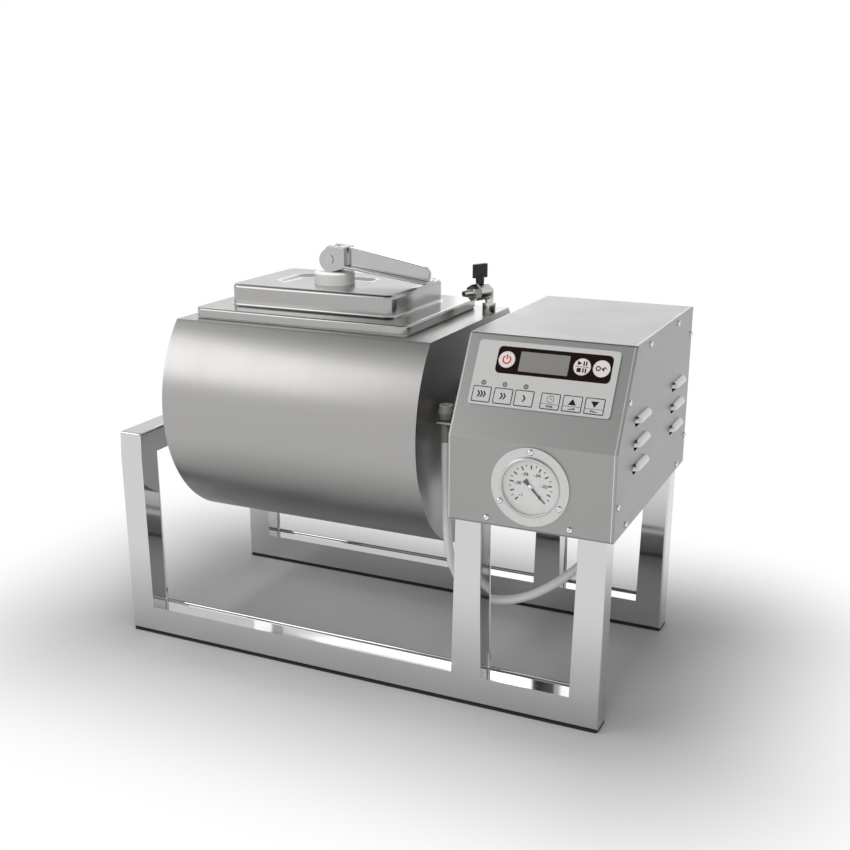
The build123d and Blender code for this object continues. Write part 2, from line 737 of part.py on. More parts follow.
# The cam's radius falls evenly with the lever's turn, so the stud sinks evenly as the lever rises
pivot = place(clamp_x, axis_y, pivot_z)
lever_front = Plane(origin=pivot + Vector(0, lever_width / 2, 0), x_dir=(1, 0, 0), z_dir=(0, -1, 0))
slope = radians(lever_slope)
lever_axis = Plane(origin=lever_front.origin, x_dir=(cos(slope), 0, -sin(slope)), z_dir=(0, -1, 0))
cam_steps = 10
cam_points = []
for step in range(cam_steps + 1):
    turn = cam_range * step / cam_steps
    radius = cam_radius - cam_drop * step / cam_steps
    cam_points.append((radius * cos(radians(-90 - turn)), radius * sin(radians(-90 - turn))))
cam_start = cam_points[0]
cam_end = cam_points[-1]
with BuildPart() as cam_lever:
    # The head with its spiral cam face. Past the end of the cam it stays inside the cam's last
    # tangent, so it clears the washer when the lever is raised.
    with BuildSketch(lever_front):
        with BuildLine():
            Spline(*cam_points)
            Line(cam_end, (-lever_head_back, lever_head_high))
            Line((-lever_head_back, lever_head_high), (lever_head, cam_radius))
            Line((lever_head, cam_radius), (lever_head, -lever_head_low))
            Line((lever_head, -lever_head_low), (cam_radius / 4, -cam_radius))
            Line((cam_radius / 4, -cam_radius), cam_start)
        make_face()
    extrude(amount=lever_width)
    # The handle is an upside down T: an upright web that tapers, on a sole as wide as the head
    with BuildSketch(lever_axis.offset((lever_width - lever_web) / 2)):
        with BuildLine():
            Polyline((lever_head - lever_edge, lever_root - lever_sole),
                     (lever_length - lever_tip_round, lever_tip - lever_sole),
                     (lever_length, lever_tip - lever_sole - lever_tip_round),
                     (lever_length, -lever_sole), (lever_head - lever_edge, -lever_sole), close=True)
        make_face()
    extrude(amount=lever_web)
    with BuildSketch(lever_axis):
        with BuildLine():
            Polyline((lever_head - lever_edge, lever_flange - lever_sole),
                     (lever_length, lever_flange - lever_sole), (lever_length, -lever_sole),
                     (lever_head - lever_edge, -lever_sole), close=True)
        make_face()
    extrude(amount=lever_width)
    # The slot for the stud's eye
    slot_half = eye_thickness / 2 + slot_clear
    with BuildSketch(lever_front.offset(lever_width / 2 - slot_half)):
        with Locations((eye_radius + slot_clear - cam_radius * 2, 0)):
            Rectangle(cam_radius * 4, cam_radius * 4)
    extrude(amount=2 * slot_half, mode=Mode.SUBTRACT)
    with BuildSketch(lever_front):
        Circle(pin_diameter / 2)
    extrude(amount=lever_width, mode=Mode.SUBTRACT)
save(cam_lever, "cam_lever")

with BuildPart() as lever_pin:
    with BuildSketch(lever_front):
        Circle(pin_diameter / 2)
    extrude(amount=lever_width)
    with BuildSketch(lever_front.offset(lever_width)):
        Circle(pin_head / 2)
    extrude(amount=pin_head_height)
    with BuildSketch(lever_front):
        Circle(pin_head / 2)
    extrude(amount=-pin_head_height)
save(lever_pin, "lever_pin")

# Drive box: a folded wrap between two side panels, over a flanged pan


def box_face(x, inset):
    # The side profile of the box at one depth along the machine, drawn inward by the inset
    with BuildSketch(facing_right(x, 0, 0)) as outline:
        with BuildLine():
            Polyline((-box_front, box_low), (-box_front, fold_z), (slant_back, box_high),
                     (box_back, box_high), (box_back, box_low), close=True)
        make_face()
        if inset > 0:
            offset(amount=-inset, kind=Kind.INTERSECTION, mode=Mode.REPLACE)
        fillet(outline.vertices(), bend)
    return outline.sketch


slant_length = hypot(slant_back + box_front, box_high - fold_z)
slant_run = (slant_back + box_front) / slant_length
slant_climb = (box_high - fold_z) / slant_length
slant = Plane(origin=place(box_left, -box_front, fold_z), x_dir=(1, 0, 0), z_dir=(0, -slant_climb, slant_run))
wrap_left = box_left + skin
wrap_length = box_length - 2 * skin

# Screw places on a side panel, by depth from the panel's front edge and height above its bottom
side_depth = box_back + box_front
side_height = box_high - box_low
side_screws = [(low_screw_front, screw_inset), (side_depth - low_screw_back, screw_inset)]
side_screws += [(screw_inset + box_front, pan_flange + 3 * screw_inset)]
side_screws += [(side_depth - back_screw_inset, share * side_height) for share in back_screw_shares]
side_screws += [(share * side_depth, side_height - screw_inset) for share in roof_screw_shares]
slant_screw = (slant_screw_share * (slant_back + box_front) + screw_inset * slant_climb,
               fold_z - box_low + slant_screw_share * (box_high - fold_z) - screw_inset * slant_run)
side_screws += [slant_screw]


def side_screw_points(grow):
    with Locations(*[(depth - box_front, box_low + height) for depth, height in side_screws]):
        Circle(screw_shank / 2 + grow)


with BuildPart() as housing_wrap:
    extrude(box_face(wrap_left, 0), amount=wrap_length)
    # Hollow, with a return flange along each side for the side panels
    extrude(box_face(wrap_left, skin + side_flange), amount=wrap_length, mode=Mode.SUBTRACT)
    extrude(box_face(wrap_left + skin, skin), amount=wrap_length - 2 * skin, mode=Mode.SUBTRACT)
    with BuildSketch(facing_right(wrap_left, axis_y, box_low)):
        Rectangle(frame_depth + 2 * box_front - 2 * skin, 2 * (pan_flange + 2 * skin))
    extrude(amount=wrap_length, mode=Mode.SUBTRACT)
    # Holes for the gauge case, its screws, the pan screws, the side screws and the mains inlet
    with BuildSketch(facing_front(gauge_x, -box_front, gauge_z)):
        Circle(case_diameter / 2)
        with PolarLocations(gauge_screw_circle_diameter / 2, len(gauge_screw_angles), start_angle=gauge_screw_angles[0]):
            Circle(screw_shank / 2)
    extrude(amount=-skin, mode=Mode.SUBTRACT)
    with BuildSketch(facing_front(box_left, -box_front, box_low + front_screw_height)):
        with Locations(*[(x, 0) for x in front_screws]):
            Circle(screw_shank / 2)
    extrude(amount=-skin, mode=Mode.SUBTRACT)
    with BuildSketch(facing_right(wrap_left, 0, 0)):
        side_screw_points(0)
    extrude(amount=wrap_length, mode=Mode.SUBTRACT)
    with BuildSketch(facing_back(box_right - inlet_from_right, box_back, box_low + inlet_above_bottom)):
        RectangleRounded(inlet_socket_length + 2 * overrun, inlet_socket_width + 2 * overrun, overrun)
    extrude(amount=-skin, mode=Mode.SUBTRACT)
save(housing_wrap, "housing_wrap")

with BuildPart() as left_side_panel:
    extrude(box_face(box_left, 0), amount=skin)
    with BuildSketch(facing_right(box_left, 0, 0)):
        side_screw_points(0)
        with Locations((axis_y, axis_z)):
            Circle(boss_diameter / 2 + running_fit)
    extrude(amount=skin, mode=Mode.SUBTRACT)
save(left_side_panel, "left_side_panel")

# The right panel has two columns of pressed louvres, each a hood that is open at the bottom
louvre_places = [(share * side_depth - box_front, box_low + louvre_low + row * louvre_pitch)
                 for share in louvre_column_shares for row in range(3)]


def louvre_solid(radius, length, mode):
    with Locations(*[place(box_right, y, z) for y, z in louvre_places]):
        Cylinder(radius, length - 2 * louvre_radius, rotation=(90, 0, 0), mode=mode)
    for end in (-1, 1):
        shift = end * (louvre_length / 2 - louvre_radius)
        with Locations(*[place(box_right, y + shift, z) for y, z in louvre_places]):
            Sphere(radius, mode=mode)


with BuildPart() as right_side_panel:
    louvre_solid(louvre_radius, louvre_length, Mode.ADD)
    # Keep only the upper outer quarter of each hood
    with BuildSketch(facing_right(box_right - skin, 0, 0)):
        with Locations(*[(y, z - louvre_radius) for y, z in louvre_places]):
            Rectangle(louvre_length + 2 * overrun, 2 * louvre_radius)
    extrude(amount=skin + louvre_radius + overrun, mode=Mode.SUBTRACT)
    with BuildSketch(facing_right(box_right, axis_y, (box_low + box_high) / 2)):
        Rectangle(2 * frame_depth, box_high - box_low)
    extrude(amount=-2 * louvre_radius, mode=Mode.SUBTRACT)
    extrude(box_face(box_right - skin, 0), amount=skin)
    louvre_solid(louvre_radius - skin, louvre_length, Mode.SUBTRACT)
    with BuildSketch(facing_right(box_right - skin, 0, 0)):
        side_screw_points(0)
    extrude(amount=skin, mode=Mode.SUBTRACT)
save(right_side_panel, "right_side_panel")

pan_length = box_length - 2 * skin
pan_depth = side_depth - 2 * skin
with BuildPart() as bottom_pan:
    with BuildSketch(level(box_left + box_length / 2, axis_y, box_low)):
        Rectangle(pan_length, pan_depth)
    extrude(amount=skin + pan_flange)
    with BuildSketch(level(box_left + box_length / 2, axis_y, box_low + skin)):
        Rectangle(pan_length - 2 * skin, pan_depth - 2 * skin)
    extrude(amount=pan_flange, mode=Mode.SUBTRACT)
    with BuildSketch(level(drive_left + drive_width / 2, axis_y, box_low)):
        with GridLocations(drive_width - tube_size, frame_depth - tube_size, 2, 2):
            Rectangle(tube_size, tube_size)
    extrude(amount=skin, mode=Mode.SUBTRACT)
    with BuildSketch(level(outlet_x, outlet_y, box_low)):
        Circle(hose_diameter / 2)
    extrude(amount=skin, mode=Mode.SUBTRACT)
    with BuildSketch(facing_front(box_left, -box_front, box_low + front_screw_height)):
        with Locations(*[(x, 0) for x in front_screws]):
            Circle(screw_shank / 2)
    extrude(amount=-4 * skin, mode=Mode.SUBTRACT)
    with BuildSketch(facing_right(box_left, 0, 0)):
        side_screw_points(0)
    extrude(amount=box_length, mode=Mode.SUBTRACT)
save(bottom_pan, "bottom_pan")

with BuildPart() as deck_plate:
    with BuildSketch(level(box_left + box_length / 2, axis_y, deck_z)):
        RectangleRounded(box_length - 2 * deck_margin, frame_depth - 2 * deck_margin, deck_margin)
        # The front edge is notched for the gauge case
        with Locations((gauge_x - box_left - box_length / 2, -frame_depth / 2)):
            Rectangle(case_diameter + 2 * deck_margin, 2 * (case_depth - box_front + deck_margin),
                      mode=Mode.SUBTRACT)
    extrude(amount=deck_thickness)
save(deck_plate, "deck_plate")


def screw(plane):
    with BuildPart(mode=Mode.PRIVATE) as piece:
        with BuildSketch(plane):
            Circle(screw_head / 2)
        extrude(amount=screw_head_height)
        chamfer(piece.faces().sort_by(Axis(plane.origin, plane.z_dir))[-1].edges(), screw_head_edge)
        with BuildSketch(plane):
            Circle(screw_shank / 2)
        extrude(amount=-screw_length)
    return piece.part


screws = [screw(facing_right(box_right, depth - box_front, box_low + height)) for depth, height in side_screws]
for depth, height in side_screws:
    spot = Plane(origin=place(box_left, depth - box_front, box_low + height), x_dir=(0, -1, 0), z_dir=(-1, 0, 0))
    screws.append(screw(spot))
for x in front_screws:
    screws.append(screw(facing_front(box_left + x, -box_front, box_low + front_screw_height)))
for angle in gauge_screw_angles:
    spot_x = gauge_x + gauge_screw_circle_diameter / 2 * cos(radians(angle))
    spot_z = gauge_z + gauge_screw_circle_diameter / 2 * sin(radians(angle))
    screws.append(screw(facing_front(spot_x, -box_front - flange_thickness, spot_z)))
with BuildPart() as panel_screws:
    add(screws)
save(panel_screws, "panel_screws")


# Keypad: an overlay plate with nine keys, a display window and three lamps
def pad_point(share):
    return (pad_left + share[0] * pad_length, pad_low + share[1] * pad_width)


round_points = [pad_point(entry[1:]) for entry in round_key_shares]
square_points = [pad_point(entry[1:]) for entry in square_key_shares]
led_points = [pad_point(share) for share in led_shares]
with BuildPart() as keypad_plate:
    with BuildSketch(slant):
        with Locations((pad_left + pad_length / 2, pad_low + pad_width / 2)):
            RectangleRounded(pad_length, pad_width, pad_corner)
        with Locations(*round_points):
            Circle(round_key / 2 + key_clear, mode=Mode.SUBTRACT)
        with Locations(*square_points):
            RectangleRounded(square_key_length + 2 * key_clear, square_key_width + 2 * key_clear,
                             square_key_corner + key_clear, mode=Mode.SUBTRACT)
        with Locations(*led_points):
            Circle(led_diameter / 2, mode=Mode.SUBTRACT)
        with Locations(pad_point(display_share)):
            Rectangle(display_length, display_width, mode=Mode.SUBTRACT)
    extrude(amount=pad_thickness)
save(keypad_plate, "keypad_plate")

key_base = slant.offset(pad_thickness + key_proud - key_thickness)
for index, entry in enumerate(round_key_shares):
    with BuildPart() as key:
        with BuildSketch(key_base):
            with Locations(round_points[index]):
                Circle(round_key / 2)
        extrude(amount=key_thickness)
    save(key, entry[0])
for index, entry in enumerate(square_key_shares):
    with BuildPart() as key:
        with BuildSketch(key_base):
            with Locations(square_points[index]):
                RectangleRounded(square_key_length, square_key_width, square_key_corner)
        extrude(amount=key_thickness)
    save(key, entry[0])

with BuildPart() as display_window:
    with BuildSketch(slant):
        with Locations(pad_point(display_share)):
            Rectangle(display_length, display_width)
    extrude(amount=pad_thickness)
save(display_window, "display_window")

with BuildPart() as key_lamps:
    with BuildSketch(slant):
        with Locations(*led_points):
            Circle(led_diameter / 2)
    extrude(amount=pad_thickness + key_proud)
save(key_lamps, "key_lamps")

# Vacuum gauge: a flanged case with a dial, a pointer on its pin and a glass
gauge_plane = facing_front(gauge_x, -box_front, gauge_z)
case_inner = case_diameter / 2 - case_wall
with BuildPart() as gauge_case:
    with BuildSketch(gauge_plane):
        Circle(flange_diameter / 2)
    extrude(amount=flange_thickness)
    with BuildSketch(gauge_plane):
        Circle(bezel_diameter / 2)
    extrude(amount=flange_thickness + bezel_stand)
    fillet(gauge_case.edges().group_by(Axis.Y)[0], bezel_edge)
    with BuildSketch(gauge_plane):
        Circle(case_diameter / 2)
    extrude(amount=-case_depth)
    with BuildSketch(gauge_plane.offset(case_wall - case_depth)):
        Circle(case_inner)
    extrude(amount=case_depth + flange_thickness + bezel_stand, mode=Mode.SUBTRACT)
    with BuildSketch(gauge_plane.offset(-case_depth)):
        Circle(gauge_stem / 2)
    extrude(amount=-gauge_stem_length)
    with BuildSketch(gauge_plane):
        with PolarLocations(gauge_screw_circle_diameter / 2, len(gauge_screw_angles), start_angle=gauge_screw_angles[0]):
            Circle(screw_shank / 2)
    extrude(amount=flange_thickness, mode=Mode.SUBTRACT)
save(gauge_case, "gauge_case")

dial_face = gauge_plane.offset(flange_thickness - dial_setback)
with BuildPart() as gauge_dial:
    with BuildSketch(dial_face):
        Circle(case_inner)
        Circle(pointer_pin / 2 + pointer_pin_clear, mode=Mode.SUBTRACT)
    extrude(amount=-dial_thickness)
save(gauge_dial, "gauge_dial")

with BuildPart() as gauge_glass:
    with BuildSketch(gauge_plane.offset(flange_thickness + bezel_stand - glass_setback)):
        Circle(case_inner)
    extrude(amount=-glass_thickness)
save(gauge_glass, "gauge_glass")

needle_turn = radians(pointer_rest)
needle = Plane(origin=dial_face.offset(pointer_gap).origin, x_dir=(cos(needle_turn), 0, sin(needle_turn)),
               z_dir=(0, -1, 0))
with BuildPart() as gauge_pointer:
    with BuildSketch(needle):
        with BuildLine():
            Polyline((-pointer_tail, pointer_tail_width / 2), (0, pointer_width / 2), (pointer_length, 0),
                     (0, -pointer_width / 2), (-pointer_tail, -pointer_tail_width / 2), close=True)
        make_face()
        Circle(pointer_hub / 2)
    extrude(amount=pointer_thickness)
    with BuildSketch(needle):
        Circle(pointer_pin / 2)
    extrude(amount=-pointer_gap - 2 * dial_thickness)
save(gauge_pointer, "gauge_pointer")

# Drive: a hollow shaft worm gearbox with its motor, on the deck
gearbox_low = deck_z + deck_thickness
with BuildPart() as gearbox:
    with BuildSketch(facing_right(gearbox_left, axis_y, gearbox_low + gearbox_height / 2)):
        RectangleRounded(gearbox_width, gearbox_height, gearbox_edge)
    extrude(amount=gearbox_length)
    with BuildSketch(facing_right(box_left + skin, axis_y, axis_z)):
        Circle(boss_diameter / 2)
    extrude(amount=gearbox_from_left - skin)
    with BuildSketch(facing_right(box_left + skin, axis_y, axis_z)):
        Circle(right_shaft_diameter / 2 + running_fit)
    extrude(amount=gearbox_from_left + gearbox_length, mode=Mode.SUBTRACT)
save(gearbox, "gearbox")

motor_y = axis_y + gearbox_width / 2
motor_z = gearbox_low + gearbox_height / 2
motor_length = box_back - motor_back_gap - motor_y
with BuildPart() as drive_motor:
    with BuildSketch(facing_back(gearbox_left + gearbox_length / 2, motor_y, motor_z)):
        Circle(motor_diameter / 2 - motor_fin_height)
        with PolarLocations(motor_diameter / 2 - motor_fin_height, motor_fin_count):
            Rectangle(2 * motor_fin_height, motor_fin_height)
    extrude(amount=motor_length - motor_cap)
    with BuildSketch(facing_back(gearbox_left + gearbox_length / 2, motor_y + motor_length - motor_cap, motor_z)):
        Circle(motor_diameter / 2)
    extrude(amount=motor_cap)
save(drive_motor, "drive_motor")

# Vacuum pump: a motor block on rubber feet with two diaphragm heads
pump_x = box_right - skin - pump_from_right - pump_length / 2
pump_y = box_back - side_flange - pump_width / 2 - box_front
with BuildPart() as vacuum_pump:
    with BuildSketch(level(pump_x, pump_y, gearbox_low)):
        RectangleRounded(pump_length, pump_width, pump_edge)
    extrude(amount=pump_height)
    with BuildSketch(level(pump_x, pump_y, gearbox_low + pump_height)):
        with GridLocations(0, pump_width - pump_head - 2 * pump_edge, 1, 2):
            Circle(pump_head / 2)
    extrude(amount=pump_head_height)
save(vacuum_pump, "vacuum_pump")

# Control board on four spacers behind the slanted face
board_plane = slant.offset(-skin)
board_middle = (pad_left + pad_length / 2, pad_low + pad_width / 2 - board_spacer_diameter)
with BuildPart() as control_board:
    with BuildSketch(board_plane.offset(-board_spacer)):
        with Locations(board_middle):
            Rectangle(board_length, board_width)
    extrude(amount=-board_thickness)
    with BuildSketch(board_plane):
        with Locations(board_middle):
            with GridLocations(board_length - 2 * board_spacer_diameter, board_width - 2 * board_spacer_diameter,
                               2, 2):
                Circle(board_spacer_diameter / 2)
    extrude(amount=-board_spacer)
    with BuildSketch(board_plane.offset(-board_spacer - board_thickness)):
        with Locations(board_middle):
            with GridLocations(board_length / 3, board_width / 2, 3, 2):
                Rectangle(board_length / 5, board_width / 4)
    extrude(amount=-board_part_height)
save(control_board, "control_board")

# Mains inlet on the back, near the bottom
inlet_plane = facing_back(box_right - inlet_from_right, box_back, box_low + inlet_above_bottom)
with BuildPart() as mains_inlet:
    with BuildSketch(inlet_plane):
        RectangleRounded(inlet_length, inlet_width, inlet_stand)
    extrude(amount=inlet_stand)
    with BuildSketch(inlet_plane):
        RectangleRounded(inlet_socket_length + 2 * overrun, inlet_socket_width + 2 * overrun, overrun)
    extrude(amount=-inlet_depth)
    with BuildSketch(inlet_plane.offset(inlet_stand)):
        RectangleRounded(inlet_socket_length, inlet_socket_width, overrun)
    extrude(amount=-inlet_depth, mode=Mode.SUBTRACT)
    with BuildSketch(inlet_plane.offset(inlet_stand - inlet_depth)):
        with Locations((-inlet_pin_pitch, -inlet_pin_thickness), (inlet_pin_pitch, -inlet_pin_thickness),
                       (0, inlet_pin_thickness)):
            Rectangle(inlet_pin_thickness, inlet_pin_width)
    extrude(amount=inlet_pin_length)
save(mains_inlet, "mains_inlet")

# Holder for the parked end of the hose: a bent tab on the left side panel
with BuildPart() as hose_holder:
    with BuildSketch(level(box_left - holder_length / 2, hose_y, holder_z)):
        RectangleRounded(holder_length, holder_width, holder_corner)
        with Locations((holder_length / 4, 0)):
            Rectangle(holder_length / 2, holder_width)
        with Locations((holder_length / 2 - hose_from_box, 0)):
            Circle(coupling_neck / 2 + stud_clear, mode=Mode.SUBTRACT)
    extrude(amount=holder_thickness)
    with BuildSketch(level(box_left - holder_thickness / 2, hose_y, holder_z)):
        Rectangle(holder_thickness, holder_width)
    extrude(amount=-holder_tab)
save(hose_holder, "hose_holder")

# The quick coupling that fits the vent valve, parked in the holder
holder_top = holder_z + holder_thickness
barb_low = holder_z - coupling_neck_length - coupling_barb_length
with BuildPart() as hose_coupling:
    with BuildSketch(level(hose_x, hose_y, holder_top)):
        Circle(coupling_diameter / 2)
    extrude(amount=coupling_height)
    with BuildSketch(level(hose_x, hose_y, holder_top + coupling_height / 3)):
        Circle(coupling_ring / 2)
    extrude(amount=coupling_ring_height)
    with BuildSketch(level(hose_x, hose_y, holder_z - coupling_neck_length)):
        Circle(coupling_neck / 2)
    extrude(amount=coupling_neck_length + holder_thickness)
    with BuildSketch(level(hose_x, hose_y, holder_z - coupling_neck_length)):
        RegularPolygon(coupling_neck / 2 + barb_step, 6)
    extrude(amount=coupling_neck_length / 2)
    with BuildSketch(level(hose_x, hose_y, barb_low)):
        Circle(hose_diameter / 2 + barb_step / 2)
    extrude(amount=coupling_barb_length)
    with BuildSketch(level(hose_x, hose_y, holder_top + coupling_height)):
        Circle(barb_diameter / 2)
    extrude(amount=-coupling_height, mode=Mode.SUBTRACT)
save(hose_coupling, "hose_coupling")

# The outlet under the box where the hose starts
outlet_low = box_low - outlet_hex_height - outlet_barb_length
with BuildPart() as hose_outlet:
    with BuildSketch(level(outlet_x, outlet_y, box_low)):
        RegularPolygon(outlet_hex / 2, 6)
    extrude(amount=-outlet_hex_height)
    with BuildSketch(level(outlet_x, outlet_y, box_low)):
        Circle(hose_diameter / 2)
    extrude(amount=skin + outlet_hex_height)
    with BuildSketch(level(outlet_x, outlet_y, outlet_low)):
        Circle(hose_diameter / 2 + barb_step / 2)
    extrude(amount=outlet_barb_length)
save(hose_outlet, "hose_outlet")

# The hose hangs in a loop from the coupling to the outlet, behind the front post
route = [(hose_x, hose_y, barb_low)]
for share_x, share_y, share_z in hose_bend_shares:
    route.append((hose_x + share_x * (outlet_x - hose_x), hose_y + share_y * (outlet_y - hose_y),
                  share_z * outlet_low))
route.append((outlet_x, outlet_y, outlet_low))
points = [place(*point) for point in route]
radii = []
for before, here, after in zip(points, points[1:], points[2:]):
    first = here - before
    second = after - here
    half_turn = radians(first.get_angle(second)) / 2
    radii.append(bend_reach_share * min(first.length, second.length) / tan(half_turn))
print("hose radii", [round(radius, 1) for radius in radii])
with BuildPart() as hose:
    with BuildLine():
        FilletPolyline(*points, radius=radii)
    with BuildSketch(Plane(origin=points[0], x_dir=(1, 0, 0), z_dir=(points[1] - points[0]).normalized())):
        Circle(hose_diameter / 2)
    sweep()
save(hose, "hose")
print("hose volume", hose.part.volume)
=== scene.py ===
from math import cos, hypot, pi, radians, sin

import bmesh
import bpy
from mathutils import Matrix, Vector


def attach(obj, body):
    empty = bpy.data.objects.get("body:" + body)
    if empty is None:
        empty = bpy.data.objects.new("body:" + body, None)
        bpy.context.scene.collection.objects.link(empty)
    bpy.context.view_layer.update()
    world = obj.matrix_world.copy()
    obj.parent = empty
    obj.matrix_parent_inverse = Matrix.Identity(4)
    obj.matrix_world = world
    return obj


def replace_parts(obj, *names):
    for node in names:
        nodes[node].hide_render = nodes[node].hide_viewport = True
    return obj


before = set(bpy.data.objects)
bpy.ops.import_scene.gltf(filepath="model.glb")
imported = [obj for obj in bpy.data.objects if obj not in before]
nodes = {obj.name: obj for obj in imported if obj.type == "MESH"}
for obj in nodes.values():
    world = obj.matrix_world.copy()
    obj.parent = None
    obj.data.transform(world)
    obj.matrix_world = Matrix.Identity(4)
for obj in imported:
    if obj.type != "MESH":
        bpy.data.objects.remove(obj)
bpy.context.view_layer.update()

MM = 0.001

# Sizes of the machine in millimetres, measured from the stand's left front corner on the floor
MIDDLE_X = 307.0
MIDDLE_Y = 149.0
STAND_LENGTH = 600.0
STAND_DEPTH = 300.0
TUBE = 30.0
TUBE_CORNER = 2.5
FOOT_STRIP = 3.0
DRIVE_POST_LEFT = 435.0
DRIVE_POST_TOP = 248.0
CROSS_TUBE_TOP = 258.0
BOX_LEFT = 427.5
BOX_RIGHT = 607.5
BOX_FRONT = -2.0
BOX_BACK = 302.0
BOX_LOW = 215.0
BOX_HIGH = 405.0
FOLD_HEIGHT = 307.0
SLANT_BACK = 55.0
DRUM_Y = 150.0
PAD_TOP = 2.0
KEY_PROUD = 0.2
PRINT = 0.06
GAUGE_X = 518.5
GAUGE_Z = 263.0
GAUGE_FLANGE = 2.0
DIAL_SUNK = 3.0
HOSE_DIAMETER = 10.0


def place(x, y, z):
    # A point measured from the stand's left front corner, in the part's frame and in metres
    return Vector(((x - MIDDLE_X) * MM, (y - MIDDLE_Y) * MM, z * MM))


# Materials


def linear(code):
    # An sRGB hex colour as linear RGBA
    parts = [int(code[i:i + 2], 16) / 255 for i in (1, 3, 5)]
    return tuple(p / 12.92 if p <= 0.04045 else ((p + 0.055) / 1.055) ** 2.4 for p in parts) + (1.0,)


def add(tree, kind, inputs=None, **settings):
    # One node with its settings. An input given as a socket is linked, any other value is set.
    node = tree.nodes.new(kind)
    for name, value in settings.items():
        setattr(node, name, value)
    for name, value in (inputs or {}).items():
        if isinstance(value, bpy.types.NodeSocket):
            tree.links.new(value, node.inputs[name])
        else:
            node.inputs[name].default_value = value
    return node


def new_material(name):
    material = bpy.data.materials.new(name)
    material.use_nodes = True
    tree = material.node_tree
    return material, tree, tree.nodes["Principled BSDF"]


def pattern(tree, pitch, stretch=(1, 1, 1), detail=2.0):
    # Noise whose grains are about the pitch in millimetres, drawn out along an axis by the stretch
    where = add(tree, "ShaderNodeTexCoord")
    scale = [1 / (pitch * MM * part) for part in stretch]
    placed = add(tree, "ShaderNodeMapping", {"Vector": where.outputs["Object"], "Scale": scale})
    inputs = {"Vector": placed.outputs["Vector"], "Scale": 1.0, "Detail": detail}
    return add(tree, "ShaderNodeTexNoise", inputs).outputs["Fac"]


# The noise keeps mostly between these two values
NOISE_LOW = 0.3
NOISE_HIGH = 0.7
# Handling marks and rolling leave clouds of about this size in a metal's gloss
CLOUD_PITCH = 60.0


def surface(name, colours, roughness, pitch, stretch, detail, strength, depth, clouded=False):
    # A fine pattern moves the colour, the roughness and the height, which the depth gives in millimetres
    material, tree, shader = new_material(name)
    grain = pattern(tree, pitch, stretch, detail)
    gloss = grain
    if clouded:
        both = add(tree, "ShaderNodeMath", {0: grain, 1: pattern(tree, CLOUD_PITCH)}, operation="ADD")
        gloss = add(tree, "ShaderNodeMath", {0: both.outputs[0], 1: 0.5}, operation="MULTIPLY").outputs[0]
    colour = add(tree, "ShaderNodeMix", {0: grain, 6: linear(colours[0]), 7: linear(colours[1])},
                 data_type="RGBA")
    rough = add(tree, "ShaderNodeMapRange", {"Value": gloss, "From Min": NOISE_LOW, "From Max": NOISE_HIGH,
                                             "To Min": roughness[0], "To Max": roughness[1]})
    relief = add(tree, "ShaderNodeBump", {"Height": grain, "Strength": strength, "Distance": depth * MM})
    tree.links.new(colour.outputs[2], shader.inputs["Base Color"])
    tree.links.new(rough.outputs["Result"], shader.inputs["Roughness"])
    tree.links.new(relief.outputs["Normal"], shader.inputs["Normal"])
    return material, tree, shader


def metal(name, colours, roughness, pitch, stretch, strength, depth):
    # Worked metal with the fine lines of its working direction
    material, tree, shader = surface(name, colours, roughness, pitch, stretch, 2.0, strength, depth, True)
    shader.inputs["Metallic"].default_value = 1.0
    return material


def plastic(name, colours, roughness, pitch, strength, depth, ior):
    # Moulded, printed, painted or extruded, with an even fine grain
    material, tree, shader = surface(name, colours, roughness, pitch, (1, 1, 1), 3.0, strength, depth)
    shader.inputs["IOR"].default_value = ior
    return material


# Real hairlines and grit are a few hundredths of a millimetre wide. The pitches below are drawn coarser, so
# that they show as a soft streak or grain.

# Mirror polished stainless tube: bright, with a very slight waviness from buffing
polished_tube = metal("polished_stainless_tube", ("#CFCFD0", "#CBCBCC"), (0.05, 0.10), 14.0, (8, 8, 8),
                      0.02, 0.02)
# Hairline brushed stainless sheet of the box: a grey sheen, streaked along the machine
hairline_sheet = metal("hairline_stainless_sheet", ("#A1A1A0", "#9D9D9C"), (0.34, 0.40), 1.4, (40, 1, 1),
                       0.05, 0.01)
# The side panels are the same sheet, streaked from front to back, in a darker copy of its colour: painted
# shade
hairline_side_painted_shade = metal("hairline_stainless_side_painted_shade", ("#999998", "#959594"), (0.34, 0.40), 1.4, (1, 40, 1),
                      0.05, 0.01)
# The press has stretched the louvres, which leaves them smoother than the sheet round them; their brighter
# colour is a painted sheen
louvre_painted_sheen = metal("louvre_stainless_painted_sheen", ("#CDCDCC", "#C7C7C6"), (0.18, 0.24), 3.0, (1, 1, 1),
                      0.02, 0.01)
# Satin rolled shell of the drum, polished around: broad soft highlights
satin_drum = metal("satin_rolled_stainless", ("#AAA9A8", "#A6A5A4"), (0.28, 0.33), 1.6, (1, 60, 60),
                   0.03, 0.01)
# The drum's end plates keep the mill's dull finish and mirror little
dull_end = metal("dull_stainless_plate", ("#ABABAA", "#A6A6A5"), (0.36, 0.44), 2.0, (1, 30, 1), 0.04, 0.01)
# Drawn lid, satin polished after the press: it mirrors in a blurred way
satin_lid = metal("satin_pressed_stainless", ("#ABAAA9", "#A8A7A6"), (0.16, 0.20), 4.0, (1, 1, 1), 0.01, 0.01)
# Turned stainless of shafts, pins and bolts: fine rings from the tool
turned_steel = metal("turned_stainless", ("#C8C8C9", "#B0B0B2"), (0.16, 0.30), 0.8, (1, 12, 12), 0.12, 0.02)
# Rolled and barrelled screws: small and glittering
screw_steel = metal("bright_screw_steel", ("#E2E2E3", "#D8D8D9"), (0.12, 0.20), 1.5, (1, 1, 1), 0.03, 0.01)
# Investment cast lever, tumbled bright: glossy with soft edges
cast_lever = metal("tumbled_cast_stainless", ("#BABABA", "#B5B5B5"), (0.11, 0.15), 4.0, (1, 1, 1), 0.02, 0.02)
